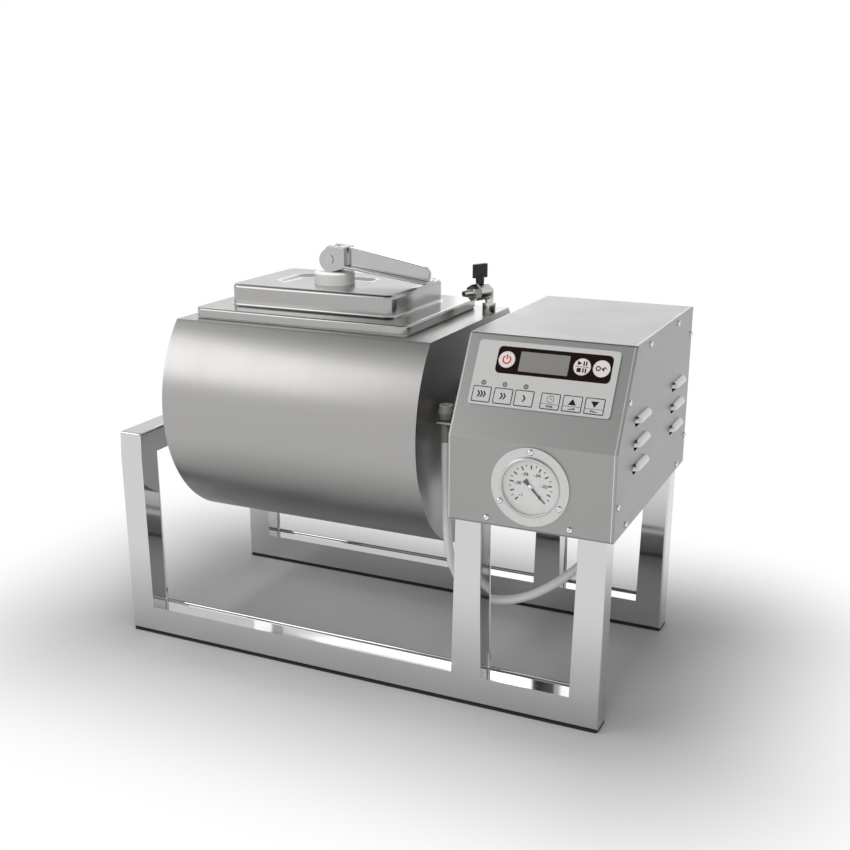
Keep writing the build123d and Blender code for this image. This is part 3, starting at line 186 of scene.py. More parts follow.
# Nickel plated brass fitting: a warm, bright silver
nickel_brass = metal("nickel_plated_brass", ("#D8D7D2", "#C6C5C0"), (0.12, 0.22), 2.0, (1, 1, 1), 0.05, 0.02)
# Pressed steel rim of the gauge: bright and a little blurred
gauge_rim = metal("pressed_steel_rim", ("#CFCFCE", "#C2C2C1"), (0.14, 0.24), 2.0, (1, 1, 1), 0.04, 0.01)
# Die cast aluminium of the gearbox and the pump: matt grey with a cast skin
die_cast = metal("die_cast_aluminium", ("#A6A9AD", "#94979B"), (0.42, 0.55), 2.5, (1, 1, 1), 0.25, 0.08)
# Sand cast iron under paint: the sand's grain shows through
painted_iron = plastic("painted_cast_iron", ("#59636A", "#4F585F"), (0.42, 0.55), 3.0, 0.35, 0.15, 1.5)
# Sprayed motor enamel, slightly orange peeled
motor_paint = plastic("enamel_motor_paint", ("#2E333A", "#282C33"), (0.35, 0.45), 2.5, 0.15, 0.04, 1.5)
# Turned white nylon with a soft sheen
white_nylon = plastic("turned_white_nylon", ("#F1F1EF", "#E9E9E6"), (0.34, 0.44), 1.5, 0.06, 0.02, 1.53)
# Moulded silicone gasket: pale and dull
silicone = plastic("moulded_silicone", ("#D9D9D4", "#CFCFCA"), (0.45, 0.55), 2.0, 0.10, 0.03, 1.43)
# Matt black strips under the rails: nearly no gloss
matt_black_strip = plastic("matt_black_strip_finish", ("#161617", "#1D1D1E"), (0.65, 0.80), 1.2, 0.30, 0.05, 1.52)
# Moulded nylon with a spark eroded texture that breaks the gloss
black_plastic = plastic("moulded_black_plastic", ("#121213", "#19191A"), (0.38, 0.50), 0.9, 0.25, 0.03, 1.5)
grey_plastic = plastic("moulded_grey_plastic", ("#928E88", "#8A8680"), (0.40, 0.50), 0.9, 0.15, 0.03, 1.5)
# Glass fibre board: the weave shows under the green solder mask
solder_mask = plastic("solder_mask_board", ("#1B5A38", "#164A2E"), (0.35, 0.50), 2.0, 0.20, 0.05, 1.5)
# Matt polyester film of the keypad, printed on the back
film_grey = plastic("matt_keypad_film", ("#BEBFBD", "#BABBB9"), (0.45, 0.55), 1.0, 0.05, 0.01, 1.5)
film_key = plastic("matt_key_film", ("#C0C1BF", "#BCBDBB"), (0.45, 0.55), 1.0, 0.05, 0.01, 1.5)
film_round = plastic("matt_round_key_film", ("#DAD3D1", "#D6CFCD"), (0.45, 0.55), 1.0, 0.05, 0.01, 1.5)
# Screen printed inks: flat and matt, with hardly any gloss of their own
band_ink = plastic("screen_printed_dark_ink", ("#170A06", "#130805"), (0.50, 0.60), 1.0, 0.02, 0.01, 1.2)
black_ink = plastic("screen_printed_black_ink", ("#151515", "#1A1A1A"), (0.50, 0.60), 1.0, 0.02, 0.01, 1.25)
grey_ink = plastic("screen_printed_grey_ink", ("#5A5A59", "#525251"), (0.50, 0.60), 1.0, 0.02, 0.01, 1.25)
red_ink = plastic("screen_printed_red_ink", ("#C2332B", "#B82D26"), (0.45, 0.55), 1.0, 0.02, 0.01, 1.3)
# Moulded acrylic lens over an unlit lamp
lamp_lens = plastic("unlit_lamp_lens", ("#8E8E8D", "#868685"), (0.20, 0.30), 1.0, 0.05, 0.01, 1.49)
# Smoked film over a display that is off: an even warm grey
display_window = plastic("smoked_display_window", ("#83817F", "#7D7B79"), (0.30, 0.38), 6.0, 0.02, 0.01, 1.35)
# Printed white dial
dial_white = plastic("printed_white_dial", ("#F0EFED", "#EBEAE8"), (0.45, 0.55), 2.0, 0.02, 0.01, 1.4)
# Blackened steel needle
needle_black = plastic("blackened_needle", ("#0E0E0F", "#151516"), (0.35, 0.45), 1.0, 0.05, 0.01, 1.5)


def painted_edge_highlights(material, places, width, colour):
    # A painted highlight: a bright line in the sheet's colour beside each side panel, where the wrap's
    # rounded edge would catch the light
    tree = material.node_tree
    where = add(tree, "ShaderNodeTexCoord")
    across = add(tree, "ShaderNodeSeparateXYZ", {"Vector": where.outputs["Object"]})
    lines = [add(tree, "ShaderNodeMath", {0: across.outputs["X"], 1: (x - MIDDLE_X) * MM, 2: width * MM / 2},
                 operation="COMPARE").outputs[0] for x in places]
    highlight_mask = add(tree, "ShaderNodeMath", {0: lines[0], 1: lines[1]}, operation="MAXIMUM")
    base = tree.nodes["Principled BSDF"].inputs["Base Color"]
    inputs = {0: highlight_mask.outputs[0], 6: base.links[0].from_socket, 7: linear(colour)}
    brighter = add(tree, "ShaderNodeMix", inputs, data_type="RGBA")
    tree.links.new(brighter.outputs[2], base)


# Painted highlight lines on the box sheet: their distances from the box's sides and their width, in
# millimetres
HIGHLIGHT_FROM_LEFT = 1.6
HIGHLIGHT_FROM_RIGHT = 3.2
HIGHLIGHT_WIDTH = 0.8
painted_edge_highlights(hairline_sheet, (BOX_LEFT + HIGHLIGHT_FROM_LEFT, BOX_RIGHT - HIGHLIGHT_FROM_RIGHT), HIGHLIGHT_WIDTH, "#D8D8D7")


def clear_glass():
    # Flat clear gauge glass with a faint smear, thin enough that it bends nothing
    material, tree, shader = new_material("clear_gauge_glass")
    shader.inputs["Base Color"].default_value = (1, 1, 1, 1)
    shader.inputs["IOR"].default_value = 1.5
    shader.inputs["Alpha"].default_value = 0.05
    rough = add(tree, "ShaderNodeMapRange", {"Value": pattern(tree, 12.0), "From Min": NOISE_LOW,
                                             "From Max": NOISE_HIGH, "To Min": 0.01, "To Max": 0.05})
    tree.links.new(rough.outputs["Result"], shader.inputs["Roughness"])
    return material


def clear_vinyl():
    # Soft clear vinyl hose: milky, with a smooth extruded skin
    material, tree, shader = surface("extruded_clear_vinyl", ("#F4F5F5", "#ECEDED"), (0.08, 0.16), 3.0,
                                     (1, 1, 1), 2.0, 0.05, 0.05)
    shader.inputs["IOR"].default_value = 1.53
    shader.inputs["Transmission Weight"].default_value = 0.08
    shader.inputs["Coat Weight"].default_value = 0.4
    return material


gauge_glass = clear_glass()
hose_vinyl = clear_vinyl()

FINISHES = {
    polished_tube: ("front_rail", "rear_rail", "left_front_post", "left_rear_post", "left_cross_tube",
                    "drive_front_left_post", "drive_front_right_post", "drive_rear_left_post",
                    "drive_rear_right_post"),
    hairline_sheet: ("housing_wrap", "bottom_pan", "deck_plate", "hose_holder"),
    hairline_side_painted_shade: ("left_side_panel", "right_side_panel"),
    satin_drum: ("drum_shell", "mouth_plate", "baffles"),
    dull_end: ("drum_left_end", "drum_right_end"),
    satin_lid: ("lid_shell",),
    turned_steel: ("left_shaft", "right_shaft", "bearing_insert", "clamp_stud", "clamp_bar", "lever_pin",
                   "pillow_bolts", "panel_screws"),
    cast_lever: ("cam_lever",),
    nickel_brass: ("valve_body", "hose_outlet"),
    gauge_rim: ("gauge_case",),
    painted_iron: ("pillow_block",),
    die_cast: ("gearbox", "vacuum_pump"),
    motor_paint: ("drive_motor",),
    white_nylon: ("clamp_washer",),
    silicone: ("lid_gasket",),
    matt_black_strip: ("foot_strips",),
    black_plastic: ("mains_inlet", "valve_knob"),
    grey_plastic: ("hose_coupling",),
    solder_mask: ("control_board",),
    film_grey: ("keypad_plate",),
    film_key: ("key_fast", "key_medium", "key_slow", "key_timer", "key_up", "key_down"),
    film_round: ("key_power", "key_start", "key_vacuum"),
    lamp_lens: ("key_lamps",),
    display_window: ("display_window",),
    dial_white: ("gauge_dial",),
    needle_black: ("gauge_pointer",),
    gauge_glass: ("gauge_glass",),
    hose_vinyl: ("hose",),
}
for material, names in FINISHES.items():
    for name in names:
        mesh = nodes[name].data
        mesh.materials.clear()
        mesh.materials.append(material)


# Flat printed shapes


def circle_points(radius, x=0.0, y=0.0, count=48, start=0.0, sweep=2 * pi):
    closed = abs(sweep - 2 * pi) < 1e-6
    steps = count if closed else count - 1
    return [(x + radius * cos(start + sweep * i / steps), y + radius * sin(start + sweep * i / steps))
            for i in range(count)]


def rounded_points(width, height, corner, x=0.0, y=0.0, count=7):
    points = []
    for turn, (sx, sy) in enumerate(((1, 1), (-1, 1), (-1, -1), (1, -1))):
        middle = (x + sx * (width / 2 - corner), y + sy * (height / 2 - corner))
        points += circle_points(corner, middle[0], middle[1], count, turn * pi / 2, pi / 2)
    return points


# A whole ring is left open by this angle, so that its two ends don't meet in one point
ALL_ROUND = 2 * pi - 1e-4


def arc_band(radius, width, start, sweep, x=0.0, y=0.0, count=28):
    # A line of some width along an arc
    outer = circle_points(radius + width / 2, x, y, count, start, sweep)
    inner = circle_points(radius - width / 2, x, y, count, start, sweep)
    return outer + inner[::-1]


def stroke(start, end, width):
    # A straight line of some width
    dx, dy = end[0] - start[0], end[1] - start[1]
    length = hypot(dx, dy)
    nx, ny = -dy / length * width / 2, dx / length * width / 2
    return [(start[0] + nx, start[1] + ny), (start[0] - nx, start[1] - ny),
            (end[0] - nx, end[1] - ny), (end[0] + nx, end[1] + ny)]


def finish_piece(name, mesh, matrix, material, body):
    mesh.transform(matrix)
    mesh.name = name
    mesh.materials.clear()
    mesh.materials.append(material)
    piece = bpy.data.objects.new(name, mesh)
    bpy.context.scene.collection.objects.link(piece)
    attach(piece, body)
    return piece


def mesh_of_curve(curve):
    # The mesh that a curve or a text makes. The curve itself is used up.
    shape = bpy.data.objects.new(curve.name + "_outline", curve)
    bpy.context.scene.collection.objects.link(shape)
    bpy.context.view_layer.update()
    mesh = bpy.data.meshes.new_from_object(shape)
    bpy.data.objects.remove(shape)
    bpy.data.curves.remove(curve)
    return mesh


def flat_shape(name, loops, base, thickness, material, body):
    # A thin plate from closed loops in millimetres. A loop inside another one is a hole.
    curve = bpy.data.curves.new(name, "CURVE")
    curve.dimensions = "2D"
    curve.fill_mode = "BOTH"
    curve.extrude = thickness * MM / 2
    for loop in loops:
        spline = curve.splines.new("POLY")
        spline.points.add(len(loop) - 1)
        for point, (x, y) in zip(spline.points, loop):
            point.co = (x * MM, y * MM, 0, 1)
        spline.use_cyclic_u = True
    lifted = base @ Matrix.Translation((0, 0, thickness * MM / 2))
    return finish_piece(name, mesh_of_curve(curve), lifted, material, body)


# The letters of a dial are a little bolder than the font, by this share of their size
BOLDER_SHARE = 0.03


def letters(name, text, size, base, x, y, thickness, material, body):
    curve = bpy.data.curves.new(name, "FONT")
    curve.body = text
    curve.size = size * MM
    curve.align_x = "CENTER"
    curve.align_y = "CENTER"
    curve.extrude = thickness * MM / 2
    curve.offset = size * MM * BOLDER_SHARE
    curve.resolution_u = 4
    shift = Matrix.Translation((x * MM, y * MM, thickness * MM / 2))
    return finish_piece(name, mesh_of_curve(curve), base @ shift, material, body)


def frame_matrix(origin, x_dir, z_dir):
    # Where a flat shape lies: its origin, the way that it runs and the way that it faces
    z = Vector(z_dir).normalized()
    x = Vector(x_dir).normalized()
    y = z.cross(x)
    matrix = Matrix((x, y, z)).transposed().to_4x4()
    matrix.translation = origin
    return matrix


# Solid shapes


def mesh_of(work, name):
    mesh = bpy.data.meshes.new(name)
    bmesh.ops.recalc_face_normals(work, faces=work.faces)
    work.to_mesh(mesh)
    work.free()
    return mesh


# Faces larger than this, in square metres, are shaded flat, so that nothing next to them bends their
# reflection
BROAD_FACE = 4e-5
SAME_POINT = 1e-6


def softened(name, node, width, angle, material, body, segments=2, chosen=None):
    # The same solid as a CAD node with its sharp edges, or the chosen ones of them, rounded off
    work = bmesh.new()
    work.from_mesh(nodes[node].data)
    bmesh.ops.remove_doubles(work, verts=work.verts, dist=SAME_POINT)
    bmesh.ops.dissolve_limit(work, angle_limit=radians(1), verts=work.verts, edges=work.edges)
    sharp = [edge for edge in work.edges
             if len(edge.link_faces) == 2 and edge.calc_face_angle() > radians(angle)
             and (chosen is None or chosen(edge))]
    bmesh.ops.bevel(work, geom=sharp, offset=width * MM, segments=segments, profile=0.5, affect="EDGES",
                    clamp_overlap=chosen is None)
    for face in work.faces:
        if face.calc_area() > BROAD_FACE:
            face.smooth = False
    piece = finish_piece(name, mesh_of(work, name), Matrix(), material, body)
    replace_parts(piece, node)
    return piece


# Stand: each side is one welded frame of square tube, ground flush at the joints
RAIL_TOP = FOOT_STRIP + TUBE
DRIVE_POST_RIGHT = STAND_LENGTH - TUBE
CROSS_TUBE_LOW = CROSS_TUBE_TOP - TUBE
SIDE_OUTLINE = (
    (0, FOOT_STRIP), (STAND_LENGTH, FOOT_STRIP), (STAND_LENGTH, DRIVE_POST_TOP),
    (DRIVE_POST_RIGHT, DRIVE_POST_TOP), (DRIVE_POST_RIGHT, RAIL_TOP),
    (DRIVE_POST_LEFT + TUBE, RAIL_TOP), (DRIVE_POST_LEFT + TUBE, DRIVE_POST_TOP),
    (DRIVE_POST_LEFT, DRIVE_POST_TOP), (DRIVE_POST_LEFT, RAIL_TOP), (TUBE, RAIL_TOP),
    (TUBE, CROSS_TUBE_LOW), (TUBE, CROSS_TUBE_TOP), (0, CROSS_TUBE_TOP), (0, CROSS_TUBE_LOW))
# Places in the outline of the two top corners of the low post
LOW_POST_CORNERS = (11, 12)


def side_frame(name, y, cross_side, replaced):
    # The tube's edges are rounded, except where the cross tube is welded on
    work = bmesh.new()
    rows = [[work.verts.new(place(x, side, z)) for x, z in SIDE_OUTLINE] for side in (y, y + TUBE)]
    rims = []
    for row in rows:
        work.faces.new(row)
    for i in range(len(SIDE_OUTLINE)):
        j = (i + 1) % len(SIDE_OUTLINE)
        work.faces.new((rows[0][i], rows[0][j], rows[1][j], rows[1][i]))
        on_weld = SIDE_OUTLINE[i][0] <= TUBE and min(SIDE_OUTLINE[i][1], SIDE_OUTLINE[j][1]) >= CROSS_TUBE_LOW
        rims += [work.edges.get((row[i], row[j])) for side, row in enumerate(rows)
                 if not (on_weld and side == cross_side)]
    rims += [work.edges.get((rows[0][i], rows[1][i])) for i in LOW_POST_CORNERS]
    bmesh.ops.bevel(work, geom=rims, offset=TUBE_CORNER * MM, segments=4, profile=0.5, affect="EDGES")
    piece = finish_piece(name, mesh_of(work, name), Matrix(), polished_tube, "frame")
    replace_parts(piece, *replaced)


side_frame("front_side_frame", 0, 1, ("front_rail", "left_front_post", "drive_front_left_post",
                                       "drive_front_right_post"))
side_frame("rear_side_frame", STAND_DEPTH - TUBE, 0, ("rear_rail", "left_rear_post", "drive_rear_left_post",
                                                       "drive_rear_right_post"))

# Small roundings that a casting, a nut and a moulding have, in millimetres, and the angle in degrees from
# which an edge counts as sharp
LEVER_ROUNDING = 0.9
LEVER_LONG_EDGE = 5.0
VALVE_ROUNDING = 0.5
COUPLING_ROUNDING = 0.7
PANEL_ROUNDING = 0.8
softened("cast_cam_lever", "cam_lever", LEVER_ROUNDING, 35, cast_lever, "lever", 3,
         lambda edge: edge.calc_length() > LEVER_LONG_EDGE * MM)
softened("nickel_vent_valve", "valve_body", VALVE_ROUNDING, 28, nickel_brass, "drum")
coupling = softened("parked_coupling", "hose_coupling", COUPLING_ROUNDING, 40, grey_plastic, "frame")

# How near a corner has to be to a panel's side, in millimetres, to its slant, as a share of the slant's
# size, and to its outer face, in millimetres, to lie on it
NEAR_SIDE = 0.3
NEAR_SLANT_SHARE = 0.01
NEAR_FACE = 0.05


def on_box_rim(outer_x):
    # A test that tells the edges of a side panel's outer rim from those of its louvres
    def on_rim(co):
        x, y, z = co.x / MM + MIDDLE_X, co.y / MM + MIDDLE_Y, co.z / MM
        slant_run = (y - BOX_FRONT) / (SLANT_BACK - BOX_FRONT)
        slant_rise = (z - FOLD_HEIGHT) / (BOX_HIGH - FOLD_HEIGHT)
        on_slant = abs(slant_run - slant_rise) < NEAR_SLANT_SHARE
        on_side = min(abs(y - BOX_FRONT), abs(y - BOX_BACK), abs(z - BOX_LOW), abs(z - BOX_HIGH)) < NEAR_SIDE
        return abs(x - outer_x) < NEAR_FACE and (on_side or on_slant)
    return lambda edge: all(on_rim(vert.co) for vert in edge.verts)


louvred = softened("louvred_side_panel", "right_side_panel", PANEL_ROUNDING, 35, hairline_side_painted_shade, "frame",
                   2, on_box_rim(BOX_RIGHT))
# A face further out than the panel belongs to a louvre
LOUVRE_FROM = 0.2
# The louvres' faces take the copy of the sheet with the painted sheen
louvred.data.materials.append(louvre_painted_sheen)
for face in louvred.data.polygons:
    if face.center.x > (BOX_RIGHT - MIDDLE_X + LOUVRE_FROM) * MM:
        face.material_index = 1
softened("plain_side_panel", "left_side_panel", PANEL_ROUNDING, 35, hairline_side_painted_shade, "frame", 2,
         on_box_rim(BOX_LEFT))

# Lid: one pressed pan. Each outline is a rounded rectangle's length, width and corner.
BASE = (275.5, 203.0, 13.0)
DOME = (211.5, 142.0, 11.5)
POCKET = (91.0, 53.0, 8.0)
LID_X = 218.75
LID_LOW = 395.3
LID_SHOULDER = 405.3
DOME_TOP = 430.8
POCKET_X = 205.5
POCKET_FLOOR = 427.8
STUD_X = 214.0
STUD_HOLE = 5.4
BASE_EDGE = 2.6
DOME_FOOT = 3.0
DOME_EDGE = 4.5
LID_WALL = 1.5
# The pocket's sides slope down gently over this width, in rows at these shares of it
SLOPE = 13.0
SLOPE_SHARES = (0, 0.15, 0.3, 0.5, 0.7, 0.85, 1)
# A row this far from a rounding, or from the lower rim, keeps the flat beside it flat
HOLD = 0.3
RIM_HOLD = 0.4
CORNER_POINTS = 9


def grown(outline, by, x, z):
    # A row: an outline made larger all round, with its middle and its height
    length, width, corner = outline
    return length + 2 * by, width + 2 * by, corner + by, x, z


def quarter(steps):
    # Angles from 0 to 90 degrees
    return [pi / 2 * step / steps for step in range(steps + 1)]


def edge_rows(outline, radius, top, steps):
    # Up the side, round the edge and onto the flat
    rounding = [grown(outline, -radius * (1 - cos(turn)), LID_X, top - radius * (1 - sin(turn)))
                for turn in quarter(steps)]
    below = grown(outline, 0, LID_X, top - radius - HOLD)
    return [below, *rounding, grown(outline, -radius - HOLD, LID_X, top)]


def outside_rows():
    # From the lower rim up over the dome and down to the pocket's floor
    rows = [grown(BASE, 0, LID_X, LID_LOW), grown(BASE, 0, LID_X, LID_LOW + RIM_HOLD)]
    rows += edge_rows(BASE, BASE_EDGE, LID_SHOULDER, 4)
    rows.append(grown(DOME, DOME_FOOT + HOLD, LID_X, LID_SHOULDER))
    rows += [grown(DOME, DOME_FOOT * (1 - sin(turn)), LID_X, LID_SHOULDER + DOME_FOOT * (1 - cos(turn)))
             for turn in quarter(3)]
    rows.append(grown(DOME, 0, LID_X, LID_SHOULDER + DOME_FOOT + HOLD))
    rows += edge_rows(DOME, DOME_EDGE, DOME_TOP, 6)
    rows.append(grown(POCKET, SLOPE + HOLD, POCKET_X, DOME_TOP))
    for share in SLOPE_SHARES:
        fall = (DOME_TOP - POCKET_FLOOR) * share * share * (3 - 2 * share)
        rows.append(grown(POCKET, SLOPE * (1 - share), POCKET_X, DOME_TOP - fall))
    rows.append(grown(POCKET, -HOLD, POCKET_X, POCKET_FLOOR))
    return rows


def underside_rows():
    # From under the pocket out to the lower rim
    inner = (DOME[0] - 2 * DOME_EDGE, DOME[1] - 2 * DOME_EDGE, DOME[2] - LID_WALL)
    ceiling = DOME_TOP - LID_WALL
    ledge = LID_SHOULDER - 2 * LID_WALL
    return [grown(POCKET, LID_WALL, POCKET_X, POCKET_FLOOR - LID_WALL),
            grown(POCKET, SLOPE + LID_WALL, POCKET_X, ceiling), grown(inner, 0, LID_X, ceiling),
            grown(inner, 0, LID_X, ledge), grown(BASE, -LID_WALL, LID_X, ledge),
            grown(BASE, -LID_WALL, LID_X, LID_LOW)]


def ring(work, row):
    length, width, corner, x, z = row
    return [work.verts.new(place(px, py, z))
            for px, py in rounded_points(length, width, corner, x, DRUM_Y, CORNER_POINTS)]


def skinned(work, rings):
    # Faces between each ring and the next, and from the last one back to the first
    for low, high in zip(rings, rings[1:] + rings[:1]):
        for i in range(len(low)):
            j = (i + 1) % len(low)
            work.faces.new((low[i], low[j], high[j], high[i]))


work = bmesh.new()
rings = [ring(work, row) for row in outside_rows()]
# The stud's hole has one point for each point of the pocket's floor
middle = place(STUD_X, DRUM_Y, POCKET_FLOOR)
ways = [(vert.co - middle).normalized() * STUD_HOLE for vert in rings[-1]]
for z in (POCKET_FLOOR, POCKET_FLOOR - LID_WALL):
    rings.append([work.verts.new(place(STUD_X + way.x, DRUM_Y + way.y, z)) for way in ways])
rings += [ring(work, row) for row in underside_rows()]
skinned(work, rings)
pan = mesh_of(work, "pressed_lid")
pan.polygons.foreach_set("use_smooth", [True] * len(pan.polygons))
pan.set_sharp_from_angle(angle=radians(40))
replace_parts(finish_piece("pressed_lid", pan, Matrix(), satin_lid, "lid"), "lid_shell")

# Pan head screws with a dimple for the driver, one on each screw of the CAD. Each profile is a list of a
# radius and a height over the seat.
SCREW_HEAD = 2.2
SCREW_PROFILE = ((0.0, 1.2), (0.9, 1.3), (1.2, 2.15), (2.2, 1.9), (3.0, 1.3), (3.5, 0.4), (3.5, 0.0),
                 (2.0, 0.0), (2.0, -7.0), (0.0, -7.0))
NEEDLE_SCREW_PROFILE = ((0.0, 1.9), (1.2, 1.8), (2.2, 1.3), (2.6, 0.8), (2.6, 0.0), (1.0, 0.0), (1.0, -3.0),
                        (0.0, -3.0))


def turned(work, profile, matrix, count=14):
    # A turned shape round the matrix's Z, added to the mesh in work
    rings = []
    for radius, height in profile:
        points = circle_points(radius, count=count) if radius else [(0.0, 0.0)]
        rings.append([work.verts.new(matrix @ Vector((x * MM, y * MM, height * MM))) for x, y in points])
    for low, high in zip(rings, rings[1:]):
        for i in range(count):
            j = (i + 1) % count
            loop = [low[i % len(low)], low[j % len(low)], high[j % len(high)], high[i % len(high)]]
            work.faces.new(list(dict.fromkeys(loop)))


def islands(mesh):
    # Bounds of each separate solid in a mesh
    work = bmesh.new()
    work.from_mesh(mesh)
    bmesh.ops.remove_doubles(work, verts=work.verts, dist=SAME_POINT)
    left = set(work.verts)
    found = []
    while left:
        stack = [left.pop()]
        group = []
        while stack:
            vert = stack.pop()
            group.append(vert.co.copy())
            for edge in vert.link_edges:
                other = edge.other_vert(vert)
                if other in left:
                    left.remove(other)
                    stack.append(other)
        low = Vector([min(co[axis] for co in group) for axis in range(3)])
        high = Vector([max(co[axis] for co in group) for axis in range(3)])
        found.append((low, high))
    work.free()
    return found


work = bmesh.new()
box_middle = place((BOX_LEFT + BOX_RIGHT) / 2, 0, 0).x
for low, high in islands(nodes["panel_screws"].data):
    middle = (low + high) / 2
    size = high - low
    if size.x > size.y:
        # A screw through a side panel
        way = 1 if middle.x > box_middle else -1
        seat_x = high.x - SCREW_HEAD * MM if way > 0 else low.x + SCREW_HEAD * MM
        matrix = frame_matrix(Vector((seat_x, middle.y, middle.z)), (0, way, 0), (way, 0, 0))
    else:
        matrix = frame_matrix(Vector((middle.x, low.y + SCREW_HEAD * MM, middle.z)), (1, 0, 0), (0, -1, 0))
    turned(work, SCREW_PROFILE, matrix)
screws = mesh_of(work, "pan_head_screws")
screws.polygons.foreach_set("use_smooth", [True] * len(screws.polygons))
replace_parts(finish_piece("pan_head_screws", screws, Matrix(), screw_steel, "frame"),
            "panel_screws")

# Keypad prints. Places on the slant run from the box's left side and up from the fold, in millimetres.
slant = frame_matrix(place(BOX_LEFT, BOX_FRONT, FOLD_HEIGHT), (1, 0, 0),
                     (0, FOLD_HEIGHT - BOX_HIGH, SLANT_BACK - BOX_FRONT))
pad_face = slant @ Matrix.Translation((0, 0, PAD_TOP * MM))
key_face = slant @ Matrix.Translation((0, 0, (PAD_TOP + KEY_PROUD) * MM))

ROUND_KEYS = {"key_power": (47.3, 86.0), "key_start": (127.5, 86.0), "key_vacuum": (147.7, 86.0)}
SQUARE_KEYS = {"key_fast": (27.5, 46.8), "key_medium": (51.0, 46.8), "key_slow": (73.8, 46.8),
               "key_timer": (101.7, 46.8), "key_up": (124.8, 46.8), "key_down": (147.8, 46.8)}
KEY_LAMPS = ((27.5, 59.3), (50.8, 59.3), (73.6, 59.3))
# Rounded rectangles: length, width and corner, some with a middle
BAND = (122.0, 29.3, 5.0, 97.5, 85.65)
DISPLAY = (52.4, 21.2, 0.4, 87.6, 85.5)
KEY_OUTSIDE = (20.4, 17.2, 1.2)
KEY_INSIDE = (19.1, 15.9, 0.9)
ROUND_HOLE = 9.15
LAMP_RING = (2.7, 1.85)
# Widths of printed lines
BOLD = 1.5
FINE = 0.6
HAIR = 0.4


def key_sign(name, loops, ink, key):
    # A print that goes down with its key. Each sign is drawn round the key's middle, in millimetres.
    flat_shape(name, loops, key_face, PRINT, ink, key + "_cap")


def upright(x, low, high, width):
    return stroke((x, low), (x, high), width)


def power_sign(x, y):
    # A broken ring and a bar
    gap = radians(32)
    return [arc_band(4.1, BOLD, pi / 2 + gap, 2 * pi - 2 * gap, x, y), upright(x, y + 0.4, y + 5.6, BOLD)]


def pause_sign(x, low, high):
    # Two bars on the right of the key
    return [upright(x + 1.6, low, high, BOLD), upright(x + 4.2, low, high, BOLD)]


def run_and_stop_sign(x, y):
    # Run or pause over stop or pause, with a line between them
    run = [(x - 5.0, y + 1.2), (x - 0.6, y + 3.7), (x - 5.0, y + 6.2)]
    stop = rounded_points(4.4, 4.4, 0.3, x - 2.8, y - 3.6)
    rule = stroke((x - 7.4, y), (x + 7.4, y), 0.5)
    return [run, *pause_sign(x, y + 1.3, y + 6.1), rule, stop, *pause_sign(x, y - 6.0, y - 1.3)]


def suction_sign(x, y):
    # A vessel's ring and an arrow that leaves it
    return [arc_band(2.1, 1.2, 0.0, ALL_ROUND, x - 3.4, y), stroke((x + 0.2, y), (x + 3.0, y), 1.4),
            [(x + 2.6, y - 2.7), (x + 6.2, y), (x + 2.6, y + 2.7)]]


def chevrons(x, y, count):
    # The more arrow heads, the faster the drum
    shapes = []
    for i in range(count):
        left = x + (i - (count - 1) / 2) * 3.2 - 1.9
        shapes.append([(left, y - 3.4), (left + 1.7, y - 3.4), (left + 3.9, y), (left + 1.7, y + 3.4),
                       (left, y + 3.4), (left + 2.2, y)])
    return shapes


def clock_sign(x, y):
    return [arc_band(3.7, FINE, 0.0, ALL_ROUND, x, y + 2.2), upright(x, y + 2.0, y + 4.6, FINE),
            stroke((x, y + 2.2), (x + 2.0, y + 2.2), FINE)]


def ruled_marks(x, y, heights):
    # A line that rules off the lower third of a key, and four bars of these heights under it
    low = y - 6.4
    bars = [upright(x + (i - 1.5) * 1.9, low, low + height, 1.2) for i, height in enumerate(heights)]
    return [stroke((x - 9.0, y - 2.9), (x + 9.0, y - 2.9), HAIR)] + bars


# The dark band behind the display and the round keys
band = [rounded_points(*BAND)]
band += [circle_points(ROUND_HOLE, x, y) for x, y in ROUND_KEYS.values()]
band += [rounded_points(*DISPLAY)]
flat_shape("keypad_band", band, pad_face, PRINT, band_ink, "frame")

# A thin dark outline round each square key
outlines = [rounded_points(*outline, x, y) for x, y in SQUARE_KEYS.values()
            for outline in (KEY_OUTSIDE, KEY_INSIDE)]
flat_shape("key_outlines", outlines, pad_face, PRINT, black_ink, "frame")

key_sign("power_sign", power_sign(*ROUND_KEYS["key_power"]), red_ink, "key_power")
key_sign("run_sign", run_and_stop_sign(*ROUND_KEYS["key_start"]), black_ink, "key_start")
key_sign("suction_sign", suction_sign(*ROUND_KEYS["key_vacuum"]), black_ink, "key_vacuum")
for key, count in (("key_fast", 3), ("key_medium", 2), ("key_slow", 1)):
    key_sign(key + "_sign", chevrons(*SQUARE_KEYS[key], count), black_ink, key)
x, y = SQUARE_KEYS["key_timer"]
key_sign("timer_sign", clock_sign(x, y), grey_ink, "key_timer")
key_sign("timer_marks", ruled_marks(x, y, (2.2, 2.2, 2.2, 2.2)), black_ink, "key_timer")
x, y = SQUARE_KEYS["key_up"]
up = [(x - 4.2, y - 1.3), (x + 4.2, y - 1.3), (x, y + 5.2)]
key_sign("up_sign", [up] + ruled_marks(x, y, (0.9, 1.4, 1.9, 2.4)), black_ink, "key_up")
x, y = SQUARE_KEYS["key_down"]
down = [(x + 4.2, y + 5.0), (x - 4.2, y + 5.0), (x, y - 1.5)]
key_sign("down_sign", [down] + ruled_marks(x, y, (2.4, 1.9, 1.4, 0.9)), black_ink, "key_down")

# A dark ring round each lamp
lamp_rings = [circle_points(radius, x, y, 32) for x, y in KEY_LAMPS for radius in LAMP_RING]
flat_shape("lamp_rings", lamp_rings, pad_face, PRINT, grey_ink, "frame")

